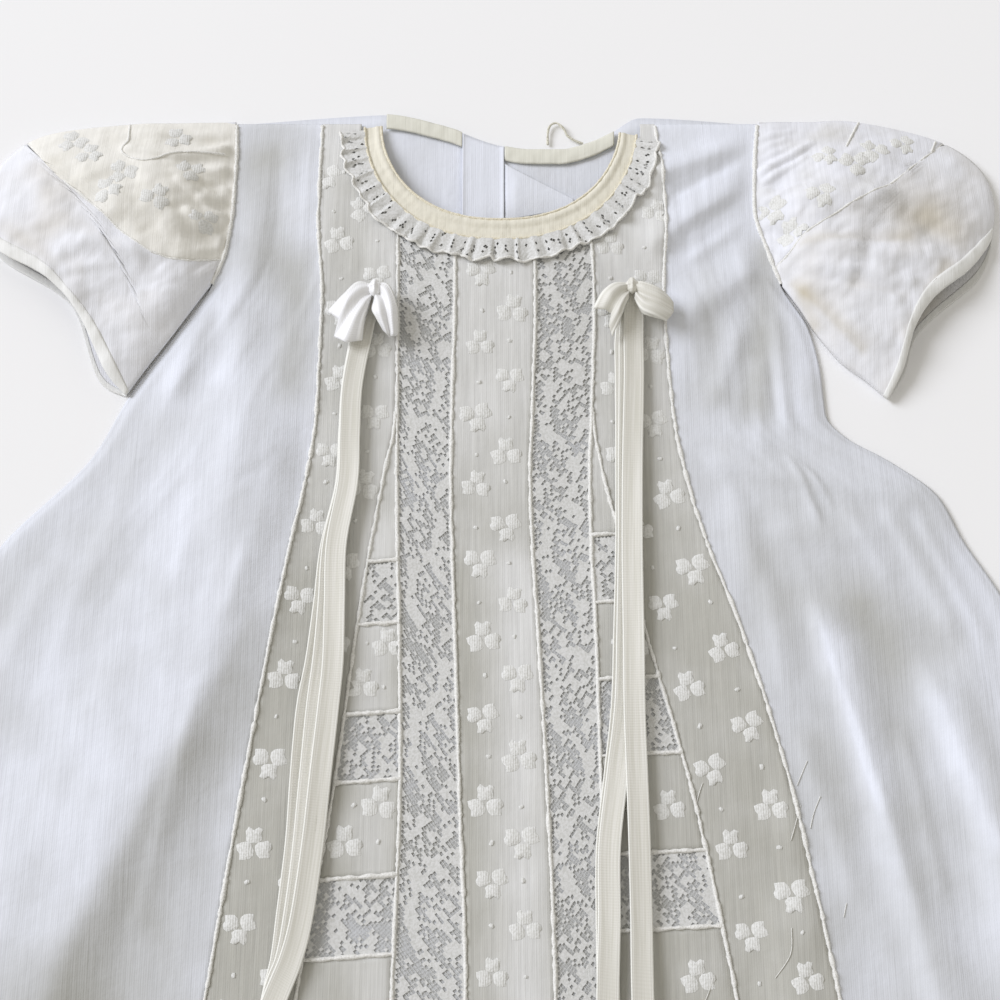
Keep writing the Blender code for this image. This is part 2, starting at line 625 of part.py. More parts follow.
def make_sleeve(gown, side):
    """The short puffed sleeve: its set-in clover top, its plain lower part and its bound cuff."""
    sleeve = SLEEVES[side]
    cuff_start = 1 - BINDING_WIDTH / SLEEVE_LENGTH
    ends = cuff_start - SET_IN / SLEEVE_LENGTH
    tip = sleeve["insert"][-1][0]
    rows = [ends * (k / SLEEVE_ROWS) ** 1.15 for k in range(SLEEVE_ROWS + 1)]

    def split(t):
        long = math.dist(patch(sleeve, t, 0, "cuff_front"), patch(sleeve, t, 1, "cuff_front"))
        least = (WALL + GAP) / long
        cut = curve_value(sleeve["insert"], min(t, tip)) if t < tip else 0.0
        return least, max(cut, least), SET_IN / long

    sections = []
    for t in rows:
        least, cut, gap = split(t)
        sections.append(sleeve_section(sleeve, t, cut + (gap if cut > least else 0.0)))
    gown.loft(f"sleeve_{side}", "batiste", sections, closed=False)

    sections = []
    for t in rows:
        least, cut, gap = split(t)
        if cut < least + 2 * gap:
            break
        points = []
        for j in range(INSERT_COLUMNS + 1):
            w = mix(least, cut, j / INSERT_COLUMNS)
            x, down = patch(sleeve, t, w, "cuff_front")
            z = sleeve_height(sleeve, t, w)
            points.append(((x, down, z), (x, down, z - WALL)))
        sections.append(points)
    gown.loft(f"sleeve_insert_{side}", "clover_batiste", sections, closed=False)

    sections = [sleeve_section(sleeve, mix(cuff_start, 1.0, k / 2), 0.0, closed=True) for k in range(3)]
    gown.loft(f"cuff_{side}", "cuff_binding", sections, closed=True)


def make_ribbon(gown, name, layer, points):
    """A ribbon tail that lies on the front, following its height."""

    def where(u, v):
        x, down = path_point(points, v)
        ahead, behind = path_point(points, min(v + 0.01, 1)), path_point(points, max(v - 0.01, 0))
        run = (ahead[0] - behind[0], ahead[1] - behind[1])
        long = math.hypot(*run)
        across = (u - 0.5) * RIBBON_WIDTH
        slant = RIBBON_SLANT * (u - 0.5) * v**8
        x, down = x + across * run[1] / long, down - across * run[0] / long + slant
        height = max(front_height(x + dx, down) for dx in (-4, 0, 4))
        return x, down, height + WALL + LIE + layer * (WALL + GAP)

    gown.panel(name, "ribbon", 1, RIBBON_STEPS, where)


def make_bow(gown, side):
    """Two drooping ribbon loops and the knot that holds them."""
    bow = BOWS[side]
    knot_x, knot_down = bow["knot"]
    base = max(front_height(knot_x + dx, knot_down) for dx in (-4, 0, 4))
    base += WALL + LIE + RIBBON_LAYERS * (WALL + GAP)
    for k, (turn, reach, widest, rise) in enumerate(bow["loops"]):
        lean = math.radians(turn)
        along, across = (math.sin(lean), math.cos(lean)), (math.cos(lean), -math.sin(lean))

        def profile(share, aside):
            """Distance from the knot and height, out along the lower half and back along the upper."""
            swell = math.sin(math.pi * share)
            out = LOOP_START + reach * swell**0.8 * (1 - 0.06 * aside * aside)
            ripple = LOOP_RIPPLE * math.sin(5 * aside + 3 * share) * share * swell
            drawn_in = 1 - 0.5 * fade((share - 0.7) / 0.3)
            return out, base + WALL / 2 + rise * drawn_in * (1 - math.cos(math.pi * share)) / 2 + ripple

        sections = []
        for i in range(LOOP_ROWS + 1):
            aside = 2 * i / LOOP_ROWS - 1
            row = []
            for j in range(LOOP_STEPS + 1):
                share = j / LOOP_STEPS
                out, height = profile(share, aside)
                ahead, behind = profile(min(share + 0.01, 1), aside), profile(max(share - 0.01, 0), aside)
                run = (ahead[0] - behind[0], ahead[1] - behind[1])
                step = WALL / 2 / math.hypot(*run)
                half = mix(LOOP_NARROW, widest, fade(math.sin(math.pi * share))) / 2 * aside
                points = []
                for sign in (1, -1):
                    reached = out + sign * step * run[1]
                    x = knot_x + along[0] * reached + across[0] * half
                    down = knot_down + along[1] * reached + across[1] * half
                    points.append((x, down, height - sign * step * run[0]))
                row.append(tuple(points))
            sections.append(row)
        gown.loft(f"bow_loop_{side}_{k + 1}", "bow_satin", sections, closed=False)

    bm = bmesh.new()
    bmesh.ops.create_uvsphere(bm, u_segments=12, v_segments=8, radius=0.5)
    for vert in bm.verts:
        x, y, z = vert.co
        vert.co = (x * KNOT_SIZE[0] * MM, y * KNOT_SIZE[1] * MM, z * KNOT_SIZE[2] * MM)
    mesh = bpy.data.meshes.new(f"bow_knot_{side}")
    bm.to_mesh(mesh)
    bm.free()
    mesh.shade_smooth()
    knot = gown.add(f"bow_knot_{side}", mesh, "bow_satin")
    knot.location = place(knot_x, knot_down, base + KNOT_SIZE[2] / 2)


def build():
    gown = Gown()
    strip_panel(gown, "centre_strip", "clover_batiste", "lace_in_left", "lace_in_right", 3, 22)
    strip_panel(gown, "lace_insertion_left", "lace", "lace_out_left", "lace_in_left", 2, 22)
    strip_panel(gown, "lace_insertion_right", "lace", "lace_in_right", "lace_out_right", 2, 22)
    for side in ("left", "right"):
        back_panel(gown, side)
        clover_band(gown, side)
        side_front(gown, side)
        ladder(gown, side)
        make_sleeve(gown, side)
        make_bow(gown, side)
    back_neck(gown)
    neck_front(gown)
    for name, (layer, points) in RIBBONS.items():
        make_ribbon(gown, name, layer, points)


build()
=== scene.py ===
import math
import random

import bmesh
import bpy
import numpy as np
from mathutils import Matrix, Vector, noise


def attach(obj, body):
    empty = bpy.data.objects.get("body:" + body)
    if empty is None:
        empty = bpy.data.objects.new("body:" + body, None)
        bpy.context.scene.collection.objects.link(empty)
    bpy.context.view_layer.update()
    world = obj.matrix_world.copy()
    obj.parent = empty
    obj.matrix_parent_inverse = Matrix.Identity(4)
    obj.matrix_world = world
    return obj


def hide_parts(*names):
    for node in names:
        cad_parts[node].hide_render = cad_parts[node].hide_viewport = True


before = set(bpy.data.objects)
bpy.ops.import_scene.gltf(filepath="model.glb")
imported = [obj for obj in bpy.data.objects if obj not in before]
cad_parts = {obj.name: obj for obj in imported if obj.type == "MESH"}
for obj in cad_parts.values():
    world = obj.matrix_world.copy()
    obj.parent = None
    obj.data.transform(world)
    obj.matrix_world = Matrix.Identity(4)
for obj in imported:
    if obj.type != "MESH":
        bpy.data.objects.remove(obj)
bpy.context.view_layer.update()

# The back of the gown: two halves of white cotton batiste, open down the centre. Each is cut to
# the neck, armhole and side, seamed to the front there, and lies flat on the surface.
# Sizes are in millimetres: x to the viewer's right, down from the shoulder line.
MM = 0.001
LENGTH, TOP_EDGE = 640.0, -5.0
MIDDLE = (LENGTH + TOP_EDGE) / 2
WALL, GAP, LIE = 1.0, 0.3, 0.5  # of the solids: their wall, a seam's gap, and what lies on a panel
CLOTH = 0.4  # thickness of the fine cloth as drawn
LEFT_EDGE = [
    (0, -109.3), (20, -108.4), (40, -108.6), (60, -110.5), (76, -115.8), (100, -130.5),
    (125, -146.0), (150, -158.0), (187, -190.5), (225, -213), (285, -238), (355, -260),
    (480, -289), (LENGTH, -315),
]
RIGHT_EDGE = [
    (0, 109.3), (20, 107.0), (42, 105.8), (60, 110.0), (76, 115.2), (96, 125.6),
    (114, 128.9), (133, 130.0), (142, 137.0), (152, 153.4), (167, 171.6), (185, 179.6),
    (205, 191.0), (240, 207), (285, 224), (355, 249), (480, 283), (LENGTH, 315),
]
BACK_NECK = [
    (-109.0, 0.0), (-54.0, -4.6), (-47.2, -4.9), (-24.0, 0.2), (1.3, 10.0), (14, 12.0), (26.3, 12.0),
    (38, 9.0), (47.4, 4.2), (60.2, -3.4), (109.0, 0.0),
]
BACK_RUMPLE = 0.5


def mix(a, b, t):
    return a + (b - a) * t


def fade(t):
    """Rises softly from 0 to 1 as t does, and stays there."""
    t = np.clip(t, 0.0, 1.0)
    return t * t * (3 - 2 * t)


def curve_value(rows, at):
    """A smooth value through (place, value) rows, which never overshoots them."""
    places, values = np.array(rows, float).T
    at = np.clip(at, places[0], places[-1])
    slope = np.diff(values) / np.diff(places)
    before, after = slope[:-1], slope[1:]
    same_way = before * after > 0
    total = np.where(same_way, before + after, 1.0)
    inner = np.where(same_way, 2 * before * after / total, 0.0)
    tangent = np.concatenate([slope[:1], inner, slope[-1:]])
    k = np.clip(np.searchsorted(places, at, side="right") - 1, 0, len(slope) - 1)
    step = places[k + 1] - places[k]
    t = (at - places[k]) / step
    ends = values[k] * (1 + 2 * t) * (1 - t) ** 2 + values[k + 1] * t * t * (3 - 2 * t)
    return ends + step * (tangent[k] * t * (1 - t) ** 2 - tangent[k + 1] * t * t * (1 - t))


def edge(side, down):
    """Where the gown's outer edge lies on one side, this far down."""
    return curve_value(LEFT_EDGE if side == "left" else RIGHT_EDGE, down)


def rumple(x, down, wide, long, seed):
    """Smooth uneven height from -1 to 1, in lumps this wide and this long."""
    x, down = np.broadcast_arrays(x, down)
    places = zip(x.ravel().tolist(), down.ravel().tolist())
    values = [noise.noise(Vector((a / wide, b / long, seed))) for a, b in places]
    return np.array(values).reshape(x.shape)


def colour(text):
    """A linear colour from an sRGB hex value."""
    parts = [int(text[i : i + 2], 16) / 255 for i in (1, 3, 5)]
    return (*[c / 12.92 if c <= 0.04045 else ((c + 0.055) / 1.055) ** 2.4 for c in parts], 1.0)


def add_node(tree, kind, inputs=None, **settings):
    """Adds a node. Each input is given a value, or is linked where it is given a socket."""
    made = tree.nodes.new(kind)
    for name, value in settings.items():
        setattr(made, name, value)
    for name, value in (inputs or {}).items():
        socket = made.inputs[name]
        if isinstance(value, bpy.types.NodeSocket):
            tree.links.new(value, socket)
        else:
            socket.default_value = value
    return made


BANDS = 0.314  # a wave texture's scale for one band in each unit of length


def plain_weave(name, light, shade, slub=0.03, sheen=0.1, crumple=0.0004, mottle=0.035):
    """Fine plain-woven cotton, washed soft: matt, with uneven threads down it and soft crumples.

    slub is how much the threads differ in tone, crumple the depth of the creases and mottle the
    size of the patches, in metres. A mesh attribute gives the share of painted shade: the shade
    colour is mixed into the light one where folds, and what lies beneath the thin cloth, would
    shade it. Real threads are 0.25 mm apart, too fine to show, so the weave is drawn at 0.8 mm,
    and slubs are 1.1 mm wide and 30 mm long.
    """
    material = bpy.data.materials.new(name)
    material.use_nodes = True
    tree = material.node_tree
    shader = tree.nodes["Principled BSDF"]
    place = add_node(tree, "ShaderNodeTexCoord").outputs["Object"]
    along = add_node(tree, "ShaderNodeMapping", {"Vector": place, "Scale": (1 / 0.0011, 1 / 0.030, 1 / 0.01)})
    threads = add_node(tree, "ShaderNodeTexNoise", {"Vector": along.outputs[0], "Scale": 1.0, "Detail": 3.0})
    big = add_node(tree, "ShaderNodeTexNoise", {"Vector": place, "Scale": 1 / mottle, "Detail": 3.0})
    warp = add_node(tree, "ShaderNodeTexWave", {"Vector": place, "Scale": BANDS / 0.0008, "Distortion": 1.5})
    soft = add_node(
        tree, "ShaderNodeTexNoise", {"Vector": place, "Scale": 1 / 0.008, "Detail": 3.0, "Roughness": 0.55}
    )
    # The share of painted shade, from the mesh, with random patches added to it.
    hollow = add_node(tree, "ShaderNodeAttribute", attribute_name="hollow")
    patch_share = add_node(
        tree, "ShaderNodeMapRange",
        {"Value": big.outputs["Fac"], "From Min": 0.3, "From Max": 0.7, "To Min": -0.16, "To Max": 0.16},
    )
    shade_mix = add_node(
        tree, "ShaderNodeMath", {0: hollow.outputs["Fac"], 1: patch_share.outputs[0]},
        operation="ADD", use_clamp=True,
    )
    ground = add_node(
        tree, "ShaderNodeMix", {0: shade_mix.outputs[0], 6: colour(light), 7: colour(shade)}, data_type="RGBA"
    )
    streak = add_node(
        tree, "ShaderNodeMapRange",
        {
            "Value": threads.outputs["Fac"], "From Min": 0.3, "From Max": 0.7,
            "To Min": 1 - slub, "To Max": 1 + slub,
        },
    )
    tinted = add_node(
        tree, "ShaderNodeVectorMath", {0: ground.outputs[2], 1: streak.outputs[0]}, operation="MULTIPLY"
    )
    fine = add_node(
        tree, "ShaderNodeBump", {"Height": warp.outputs["Fac"], "Distance": 0.00002, "Strength": 1.0}
    )
    slubs = add_node(
        tree, "ShaderNodeBump",
        {"Height": threads.outputs["Fac"], "Distance": 0.00018, "Strength": 0.8, "Normal": fine.outputs[0]},
    )
    crumpled = add_node(
        tree, "ShaderNodeBump",
        {"Height": soft.outputs["Fac"], "Distance": crumple, "Strength": 1.0, "Normal": slubs.outputs[0]},
    )
    tree.links.new(tinted.outputs[0], shader.inputs["Base Color"])
    tree.links.new(crumpled.outputs[0], shader.inputs["Normal"])
    shader.inputs["Roughness"].default_value = 0.88
    shader.inputs["Sheen Weight"].default_value = sheen
    shader.inputs["Sheen Roughness"].default_value = 0.4
    shader.inputs["Specular IOR Level"].default_value = 0.25
    return material


# Washed white cotton batiste, with faint slubs: its light colour is a white cooled to the daylight's
# blue, a painted tint, and its grey-ivory shade colour goes in as painted shade and in random patches.
batiste = plain_weave("washed_cotton_batiste", "#E4E7EF", "#ABAAA0")


def new_piece(name, data):
    piece = bpy.data.objects.new(name, data)
    bpy.context.scene.collection.objects.link(piece)
    return piece


def add_wall(piece, thick):
    """Gives a cloth piece its thickness in mm, below the face that shows."""
    wall = piece.modifiers.new("cloth", "SOLIDIFY")
    wall.thickness = thick * MM
    wall.offset = -1.0


def cloth_sheet(name, columns, rows, where, material, thick=CLOTH, hollow=None):
    """A cloth piece from a grid: where(u, v) gives its upper face in mm, with v = 0 at its top edge.

    The last argument, a function of (x, down), gives its share of painted shade, kept on the mesh.
    """
    bm = bmesh.new()
    bmesh.ops.create_grid(bm, x_segments=columns, y_segments=rows, size=0.5)
    mesh = bpy.data.meshes.new(name)
    bm.to_mesh(mesh)
    bm.free()
    flat = np.empty(len(mesh.vertices) * 3)
    mesh.vertices.foreach_get("co", flat)
    laid = where(flat[0::3] + 0.5, 0.5 - flat[1::3])
    x, down, z = (np.broadcast_to(value, len(mesh.vertices)) for value in laid)
    mesh.vertices.foreach_set("co", np.stack([x, MIDDLE - down, z], axis=1).ravel() * MM)
    if hollow:
        shade_mix = mesh.attributes.new("hollow", "FLOAT", "POINT")
        shade_mix.data.foreach_set("value", np.clip(np.broadcast_to(hollow(x, down), x.shape), 0.0, 1.0))
    mesh.materials.append(material)
    mesh.shade_smooth()
    mesh.update()
    piece = new_piece(name, mesh)
    piece["columns"] = columns
    add_wall(piece, thick)
    return piece


def cut_of(piece):
    """A grid piece's greatest width and its length down the middle, and its area, in metres, as cut."""
    grid = np.array([vert.co[:2] for vert in piece.data.vertices]).reshape(-1, piece["columns"] + 1, 2)
    width = float(np.linalg.norm(np.diff(grid, axis=1), axis=2).sum(axis=1).max())
    middle = grid[:, piece["columns"] // 2]
    length = float(np.linalg.norm(np.diff(middle, axis=0), axis=1).sum())
    area = sum(abs(face.normal.z) * face.area for face in piece.data.polygons)
    return (width, length), min(area, width * length)


def sew(piece, slot, nodes, flat, area=None, held="laid", rests_on=()):
    """Joins a finished cloth piece to the gown, in place of its solids."""
    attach(piece, "root")
    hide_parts(*nodes)
    area = area or flat[0] * flat[1]


# The back clings to the front under the lace, so the front's lie comes first. The front is robed:
# a centre strip, lace insertions, ladders, clover bands and plain sides, joined by long seams.
# They share one surface, with the folds as they fell.
NECK_X, NECK_DOWN, NECK_ROUND = 1.5, -2.0, 2.25
NECK_IN, NECK_OUT = (49.8, 50.5), (57.7, 60.6)
NECK_LIFT, NECK_REACH, SHOULDER_FADE = 4.6, 42.0, 30.0
SET_IN = 0.8  # the seams round the armholes and the neck, which curve
ARMHOLE_FOOT = 76.0
SEAM_DOWN = [0, 45, 83, 132, 160, 187, 215, 285, 355, LENGTH]
SEAMS = {
    "strip_left": [-73.4, -73.4, -70.7, -71.2, -74.2, -79.0, -83.5, -93.6, -102.3, -137],
    "ladder_left": [-40.6, -40.4, -40.0, -39.9, -44.2, -48.4, -52.2, -60.2, -70.7, -106],
    "lace_out_left": [-40.6, -40.4, -40.0, -39.4, -38.9, -38.2, -37.0, -35.4, -36.8, -38],
    "lace_in_left": [-17.2, -17.2, -16.9, -17.8, -17.9, -17.2, -16.1, -13.5, -10.9, -12],
    "lace_in_right": [15.0, 15.1, 15.4, 13.9, 12.9, 13.6, 15.2, 18.6, 20.7, 22],
    "lace_out_right": [37.8, 37.9, 39.2, 37.4, 36.2, 36.3, 37.3, 38.4, 40.7, 44],
    "ladder_right": [37.8, 37.9, 39.2, 37.9, 41.8, 48.6, 54.5, 72.0, 84.4, 127],
    "strip_right": [66.2, 69.0, 67.4, 69.6, 74.0, 81.0, 90.5, 108.6, 120.2, 165],
}
# The largest folds: a soft ridge along each line, with its half width on either side of the line
# as one looks along it, so that one side can be steeper.
FOLD_COLUMNS = ("x1", "down1", "x2", "down2", "half_left", "half_right", "rise")
FRONT_FOLDS = [
    (-90, 130, -96, 209, 34, 13, 4.6),
    (-96, 209, -112, 250, 36, 14, 5.4),
    (-112, 250, -155, 340, 40, 15, 5.8),
    (-155, 340, -215, 600, 46, 16, 6.2),
    (-106, 36, -101, 120, 8, 9, 2.4),
    (-101, 120, -104, 185, 12, 10, 2.2),
    (-118, 86, -128, 124, 5, 5, 2.0),
    (106, 9, 64, 29, 7, 4.5, 2.8),
    (107, 28, 62, 60, 8, 5, 3.2),
    (108, 66, 74, 92, 9, 6, 3.4),
    (84, 153, 112, 160, 4, 6, 1.8),
    (112, 160, 166, 169, 4, 6, 1.8),
    (108, 182, 150, 184, 6, 8, 1.6),
    (121, 212, 140, 286, 4, 12, 3.5),
    (140, 286, 165, 400, 5, 14, 3.5),
    (162, 238, 182, 303, 5, 16, 4.6),
    (182, 303, 225, 600, 8, 20, 5.6),
    (104, 320, 122, 600, 10, 14, 3.0),
]
# Smaller creases, in the same columns. A negative rise is a trough.
CREASES = [
    (-100, 162, -88, 156, 1.6, 1.6, -0.8),
    (-96, 190, -101, 216, 2.5, 5, 1.0),
    (-117, 150, -121, 205, 3, 6, 0.7),
    (-140, 150, -166, 235, 5, 9, 1.1),
    (-168, 196, -205, 300, 7, 12, 1.3),
    (-176, 300, -212, 420, 7, 12, 1.5),
    (-110, 240, -128, 330, 2, 4, 0.7),
    (-88, 32, -84, 80, 8, 7, -0.9),
    (-112, 66, -104, 58, 2, 3, 0.8),
    (-116, 77, -107, 92, 2, 4, 1.0),
    (112, 72, 101, 118, 9, 9, -0.9),
    (106, 34, 76, 54, 2.5, 2.5, -0.9),
    (107, 15, 72, 37, 2.5, 2.5, -0.7),
    (104, 46, 78, 66, 3, 3, 0.8),
    (98, 96, 86, 128, 5, 4, 1.3),
    (105, 110, 103, 150, 3, 4, 1.1),
    (112, 90, 114, 140, 2.5, 3, 1.0),
    (115, 152, 124, 178, 1.6, 1.8, 1.2),
    (119, 153, 129, 171, 1.2, 1.4, 0.8),
    (132, 168, 150, 200, 3, 6, 1.0),
    (150, 172, 172, 222, 3, 6, 1.3),
    (163, 176, 184, 226, 3, 5, 1.2),
    (92, 165, 98, 200, 5, 5, 0.9),
    (103, 200, 108, 246, 3, 6, 0.8),
    (95, 243, 118, 250, 2, 3, 0.8),
    (112, 262, 128, 320, 3, 6, 1.1),
    (131, 250, 150, 330, 2, 4, 0.9),
    (150, 262, 160, 320, 3, 3, 0.8),
    (190, 250, 212, 330, 4, 8, 1.3),
    (104, 276, 112, 340, 3, 5, 0.7),
]
EDGE_FADE = 16.0  # the front comes down to the back over this width at its edges
REST_RISE, REST_WAVE = 0.8, (31.0, 47.0)  # a faint unevenness, and its wave across and down
SEAM_ROLL = 5.0  # the front turns down to the back over this width at its outer seams
FLARE_WIDTH = 110.0  # the half width at which the streaks that fan out with the skirt are drawn


def seam(name, down):
    """Where a long seam lies, this far down."""
    return curve_value(list(zip(SEAM_DOWN, SEAMS[name])), down)


def neck_down(x, arc):
    """How far down the neckline lies at x."""
    share = np.minimum(np.abs(x - NECK_X) / arc[0], 1.0)
    return NECK_DOWN + arc[1] * (1 - share**NECK_ROUND) ** (1 / NECK_ROUND)


def neck_x(side, down, arc):
    """Where the neckline lies to one side, this far down."""
    share = np.clip((down - NECK_DOWN) / arc[1], 0.0, 1.0)
    out = arc[0] * (1 - share**NECK_ROUND) ** (1 / NECK_ROUND)
    return NECK_X + (out if side == "right" else -out)


def neck_ring(angle, arc, beyond=0.0):
    """A point of the neckline by its angle: 0 at the viewer's right shoulder, pi at the left one."""
    c, s = np.cos(angle), np.sin(angle)
    share = np.abs(c / (arc[0] + beyond)) ** NECK_ROUND + np.abs(s / (arc[1] + beyond)) ** NECK_ROUND
    reach = share ** (-1 / NECK_ROUND)
    return NECK_X + reach * c, NECK_DOWN + reach * s


def fold_rise(folds, x, down):
    """What the rows of a table of folds add up to here, each fading out past its ends."""
    rise = 0.0
    for row in folds:
        fold = dict(zip(FOLD_COLUMNS, row))
        run = (fold["x2"] - fold["x1"], fold["down2"] - fold["down1"])
        long = math.hypot(*run)
        along = ((x - fold["x1"]) * run[0] + (down - fold["down1"]) * run[1]) / long
        across = ((x - fold["x1"]) * run[1] - (down - fold["down1"]) * run[0]) / long
        half = np.where(across < 0, fold["half_left"], fold["half_right"])
        blur = fold["half_left"] + fold["half_right"]
        ends = fade(0.5 + along / blur) * fade(0.5 + (long - along) / blur)
        rise = rise + fold["rise"] * ends * np.exp(-((across / half) ** 2))
    return rise


def beyond_neck(x, down):
    """How far outside the front neckline a point lies, in mm."""
    share = (np.abs(x - NECK_X) / NECK_OUT[0]) ** NECK_ROUND
    share = share + (np.maximum(down - NECK_DOWN, 0) / NECK_OUT[1]) ** NECK_ROUND
    return (share ** (1 / NECK_ROUND) - 1) * NECK_OUT[1]


def outer_edge(x, down):
    """The half width of the gown on the side where x lies."""
    down = np.clip(down, 0, LENGTH)
    return np.where(x < 0, -edge("left", down), edge("right", down))


def front_height(x, down):
    """Height of the front's underside: it lies on the back, and lifts at the neck and at its folds."""
    neck = NECK_LIFT * np.exp(-((beyond_neck(x, down) / NECK_REACH) ** 2)) * fade(down / SHOULDER_FADE)
    inside = outer_edge(x, down) - np.abs(x)
    at_edge = fade(inside / EDGE_FADE) * fade(down / EDGE_FADE)
    rest = REST_RISE * (0.5 + 0.5 * np.sin(x / REST_WAVE[0] + down / REST_WAVE[1]))
    return WALL + GAP + neck + at_edge * (rest + fold_rise(FRONT_FOLDS, x, down))


def front_top(x, down):
    """Height of the front's upper face, with its creases and the soft streaks that run down it."""
    inside = outer_edge(x, down) - np.abs(x)
    flare = x / outer_edge(x, down) * FLARE_WIDTH
    loose = mix(0.35, 1.0, fade((np.abs(flare) - 38) / 16)) * fade(down / 25)
    streaks = 0.6 * rumple(flare, down, 8.0, 75, 1.3) + 0.22 * rumple(flare, down, 3.2, 40, 7.7)
    lumps = 0.6 * rumple(x, down, 15, 24, 4.2)
    fine = (streaks + lumps) * loose + fold_rise(CREASES, x, down)
    fine = fine * fade(inside / EDGE_FADE)
    high = front_height(x, down) + 0.75 * WALL + np.maximum(fine, -0.9)
    at_armhole = 1 - fade((down - ARMHOLE_FOOT + 4) / 8)
    rolled = np.maximum(fade(inside / SEAM_ROLL), at_armhole) * fade(0.4 + down / SEAM_ROLL)
    return mix(2.2 * CLOTH + 0.1, high, rolled)


LACE_THICK, CLING = 0.14, 0.3  # the back clings this far under the lace
LACE_MARGIN, CLING_FADE = 3.5, 3.0  # it starts this far outside the lace, over this width
NECK_SHADE = (52.0, 53.0)  # half width and depth of the part of the back, in the neck opening, kept free of painted shade
# Shares of painted shade on the back: all over, where the front covers it, and under the lace, where it
# darkens the lace's holes as shade would.
BACK_SHADE, COVERED_SHADE, LACE_SHADE = 0.10, 0.30, 0.48


def under_lace(x, down):
    """How much a place lies under the lace of the front, from 0 to 1."""
    inner = np.where(x < 0, -seam("lace_in_left", down), seam("lace_in_right", down))
    outer = np.where(x < 0, -seam("ladder_left", down), seam("ladder_right", down))
    from_inner, from_outer = np.abs(x) - inner + LACE_MARGIN, outer + LACE_MARGIN - np.abs(x)
    below_neck = fade((beyond_neck(x, down) - 1) / 6)
    return fade(from_inner / CLING_FADE) * fade(from_outer / CLING_FADE) * below_neck


def make_back(side):
    sign = -1 if side == "left" else 1

    def where(u, v):
        out = u if side == "right" else 1 - u
        x = mix(sign * GAP / 2, edge(side, LENGTH * v) - sign * GAP / 2, out**1.4)
        down = mix(curve_value(BACK_NECK, x), LENGTH, v)
        height = BACK_RUMPLE * (0.5 + rumple(x, down, 26, 60, 3.1)) * fade(down / 20) * fade((1 - out) * 12)
        clinging = front_top(x, down) - LACE_THICK - CLING
        return x, down, mix(CLOTH + np.maximum(height, 0.0), clinging, under_lace(x, down))

    # The back's share of painted shade: low in the neck opening, more where the front covers it, most under
    # the lace.
    def back_painted_shade(x, down):
        inside = np.hypot((x - NECK_X) / NECK_SHADE[0], (down - NECK_DOWN) / NECK_SHADE[1])
        covered = COVERED_SHADE * fade((inside - 0.93) / 0.10) * fade((down - 4) / 6)
        lace = under_lace(x, down)
        return BACK_SHADE + 0.05 * rumple(x, down, 9, 14, 1.0) + covered * (1 - lace) + LACE_SHADE * lace

    return cloth_sheet(f"back_{side}_batiste", 70, 130, where, batiste, hollow=back_painted_shade)


for side in ("left", "right"):
    piece = make_back(side)
    sew(piece, "batiste", [f"back_{side}"], *cut_of(piece))


# The inside of the back neck: a narrow facing of yellowed cotton, the placket strip down the
# centre opening, its corner folded back, and a thin cotton tie looped up over the neck edge.
BACK_BINDING = 7.0
BINDING_ENDS = (-46.5, 49.0)  # x of its outer ends, clear of the front's binding
PLACKET = (-14.4, 2.8)  # x of its two edges
PLACKET_TOP, PLACKET_FOOT = 1.2, 56.0  # below the neck edge, and down
FLAP = ((PLACKET[1] + GAP, 19.5, 46.5), (32.0, 37.0, 40.5))  # (x, top, foot) at its fold and its tip
FACING_THICK, FACING_RISE = 0.6, 0.7  # the facing lies this far off the back, and so on
PLACKET_RISE, FLAP_RISE = 0.6, 0.9
TIE = [
    (21.2, 9.6), (21.3, 4.0), (22.4, 0.4), (25.2, -0.6), (28.0, 2.2), (29.4, 5.4), (32.4, 7.6),
    (36.0, 9.0),
]
TIE_RADIUS = 0.55

# Cotton that has yellowed with age, as bindings do: cream, with straw-coloured patches.
aged_binding = plain_weave("aged_bias_cotton", "#E6E2D3", "#DAD4BF", slub=0.04, crumple=0.0008, mottle=0.012)
aged_facing = plain_weave("aged_cotton_facing", "#E2E1D5", "#D6D5C6", slub=0.04, mottle=0.02)


def path_point(points, t):
    """The points at shares t along a smooth path, with coordinates on the last axis."""
    points = np.array(points, float)
    at = np.concatenate([[0.0], np.cumsum(np.linalg.norm(np.diff(points, axis=0), axis=1))])
    reached = np.asarray(t, float) * at[-1]
    last = len(points) - 1
    k = np.clip(np.searchsorted(at, reached, side="right") - 1, 0, last - 1)
    u = ((reached - at[k]) / (at[k + 1] - at[k]))[..., None]
    p, q, r, s = (points[np.clip(k + j, 0, last)] for j in (-1, 0, 1, 2))
    return 0.5 * (2 * q + (r - p) * u + (2 * p - 5 * q + 4 * r - s) * u**2 + (3 * q - p - 3 * r + s) * u**3)


def back_facing(side, low, high):
    def where(u, v):
        x = mix(low, high, u)
        down = curve_value(BACK_NECK, x) + LIE + BACK_BINDING * v
        rise = FACING_RISE + 0.35 * np.sin(math.pi * v) + 0.25 * rumple(x, down, 4, 6, 2.0)
        return x, down, WALL + GAP + rise

    piece = cloth_sheet(f"back_facing_{side}", 60, 8, where, aged_facing, FACING_THICK)
    sew(piece, "neck_binding", [f"neck_binding_back_{side}"], *cut_of(piece))


back_facing("left", BINDING_ENDS[0], PLACKET[0] - GAP)
back_facing("right", PLACKET[1] + GAP, BINDING_ENDS[1])


def placket(u, v):
    x = mix(PLACKET[0], PLACKET[1], u)
    top = curve_value(BACK_NECK, x) + PLACKET_TOP
    down = mix(top, PLACKET_FOOT, v)
    folded = 0.7 * np.exp(-(((1 - u) / 0.06) ** 2)) + 0.5 * np.exp(-((u / 0.05) ** 2))
    return x, down, WALL + GAP + PLACKET_RISE + folded + 0.3 * rumple(x, down, 7, 16, 5.0)


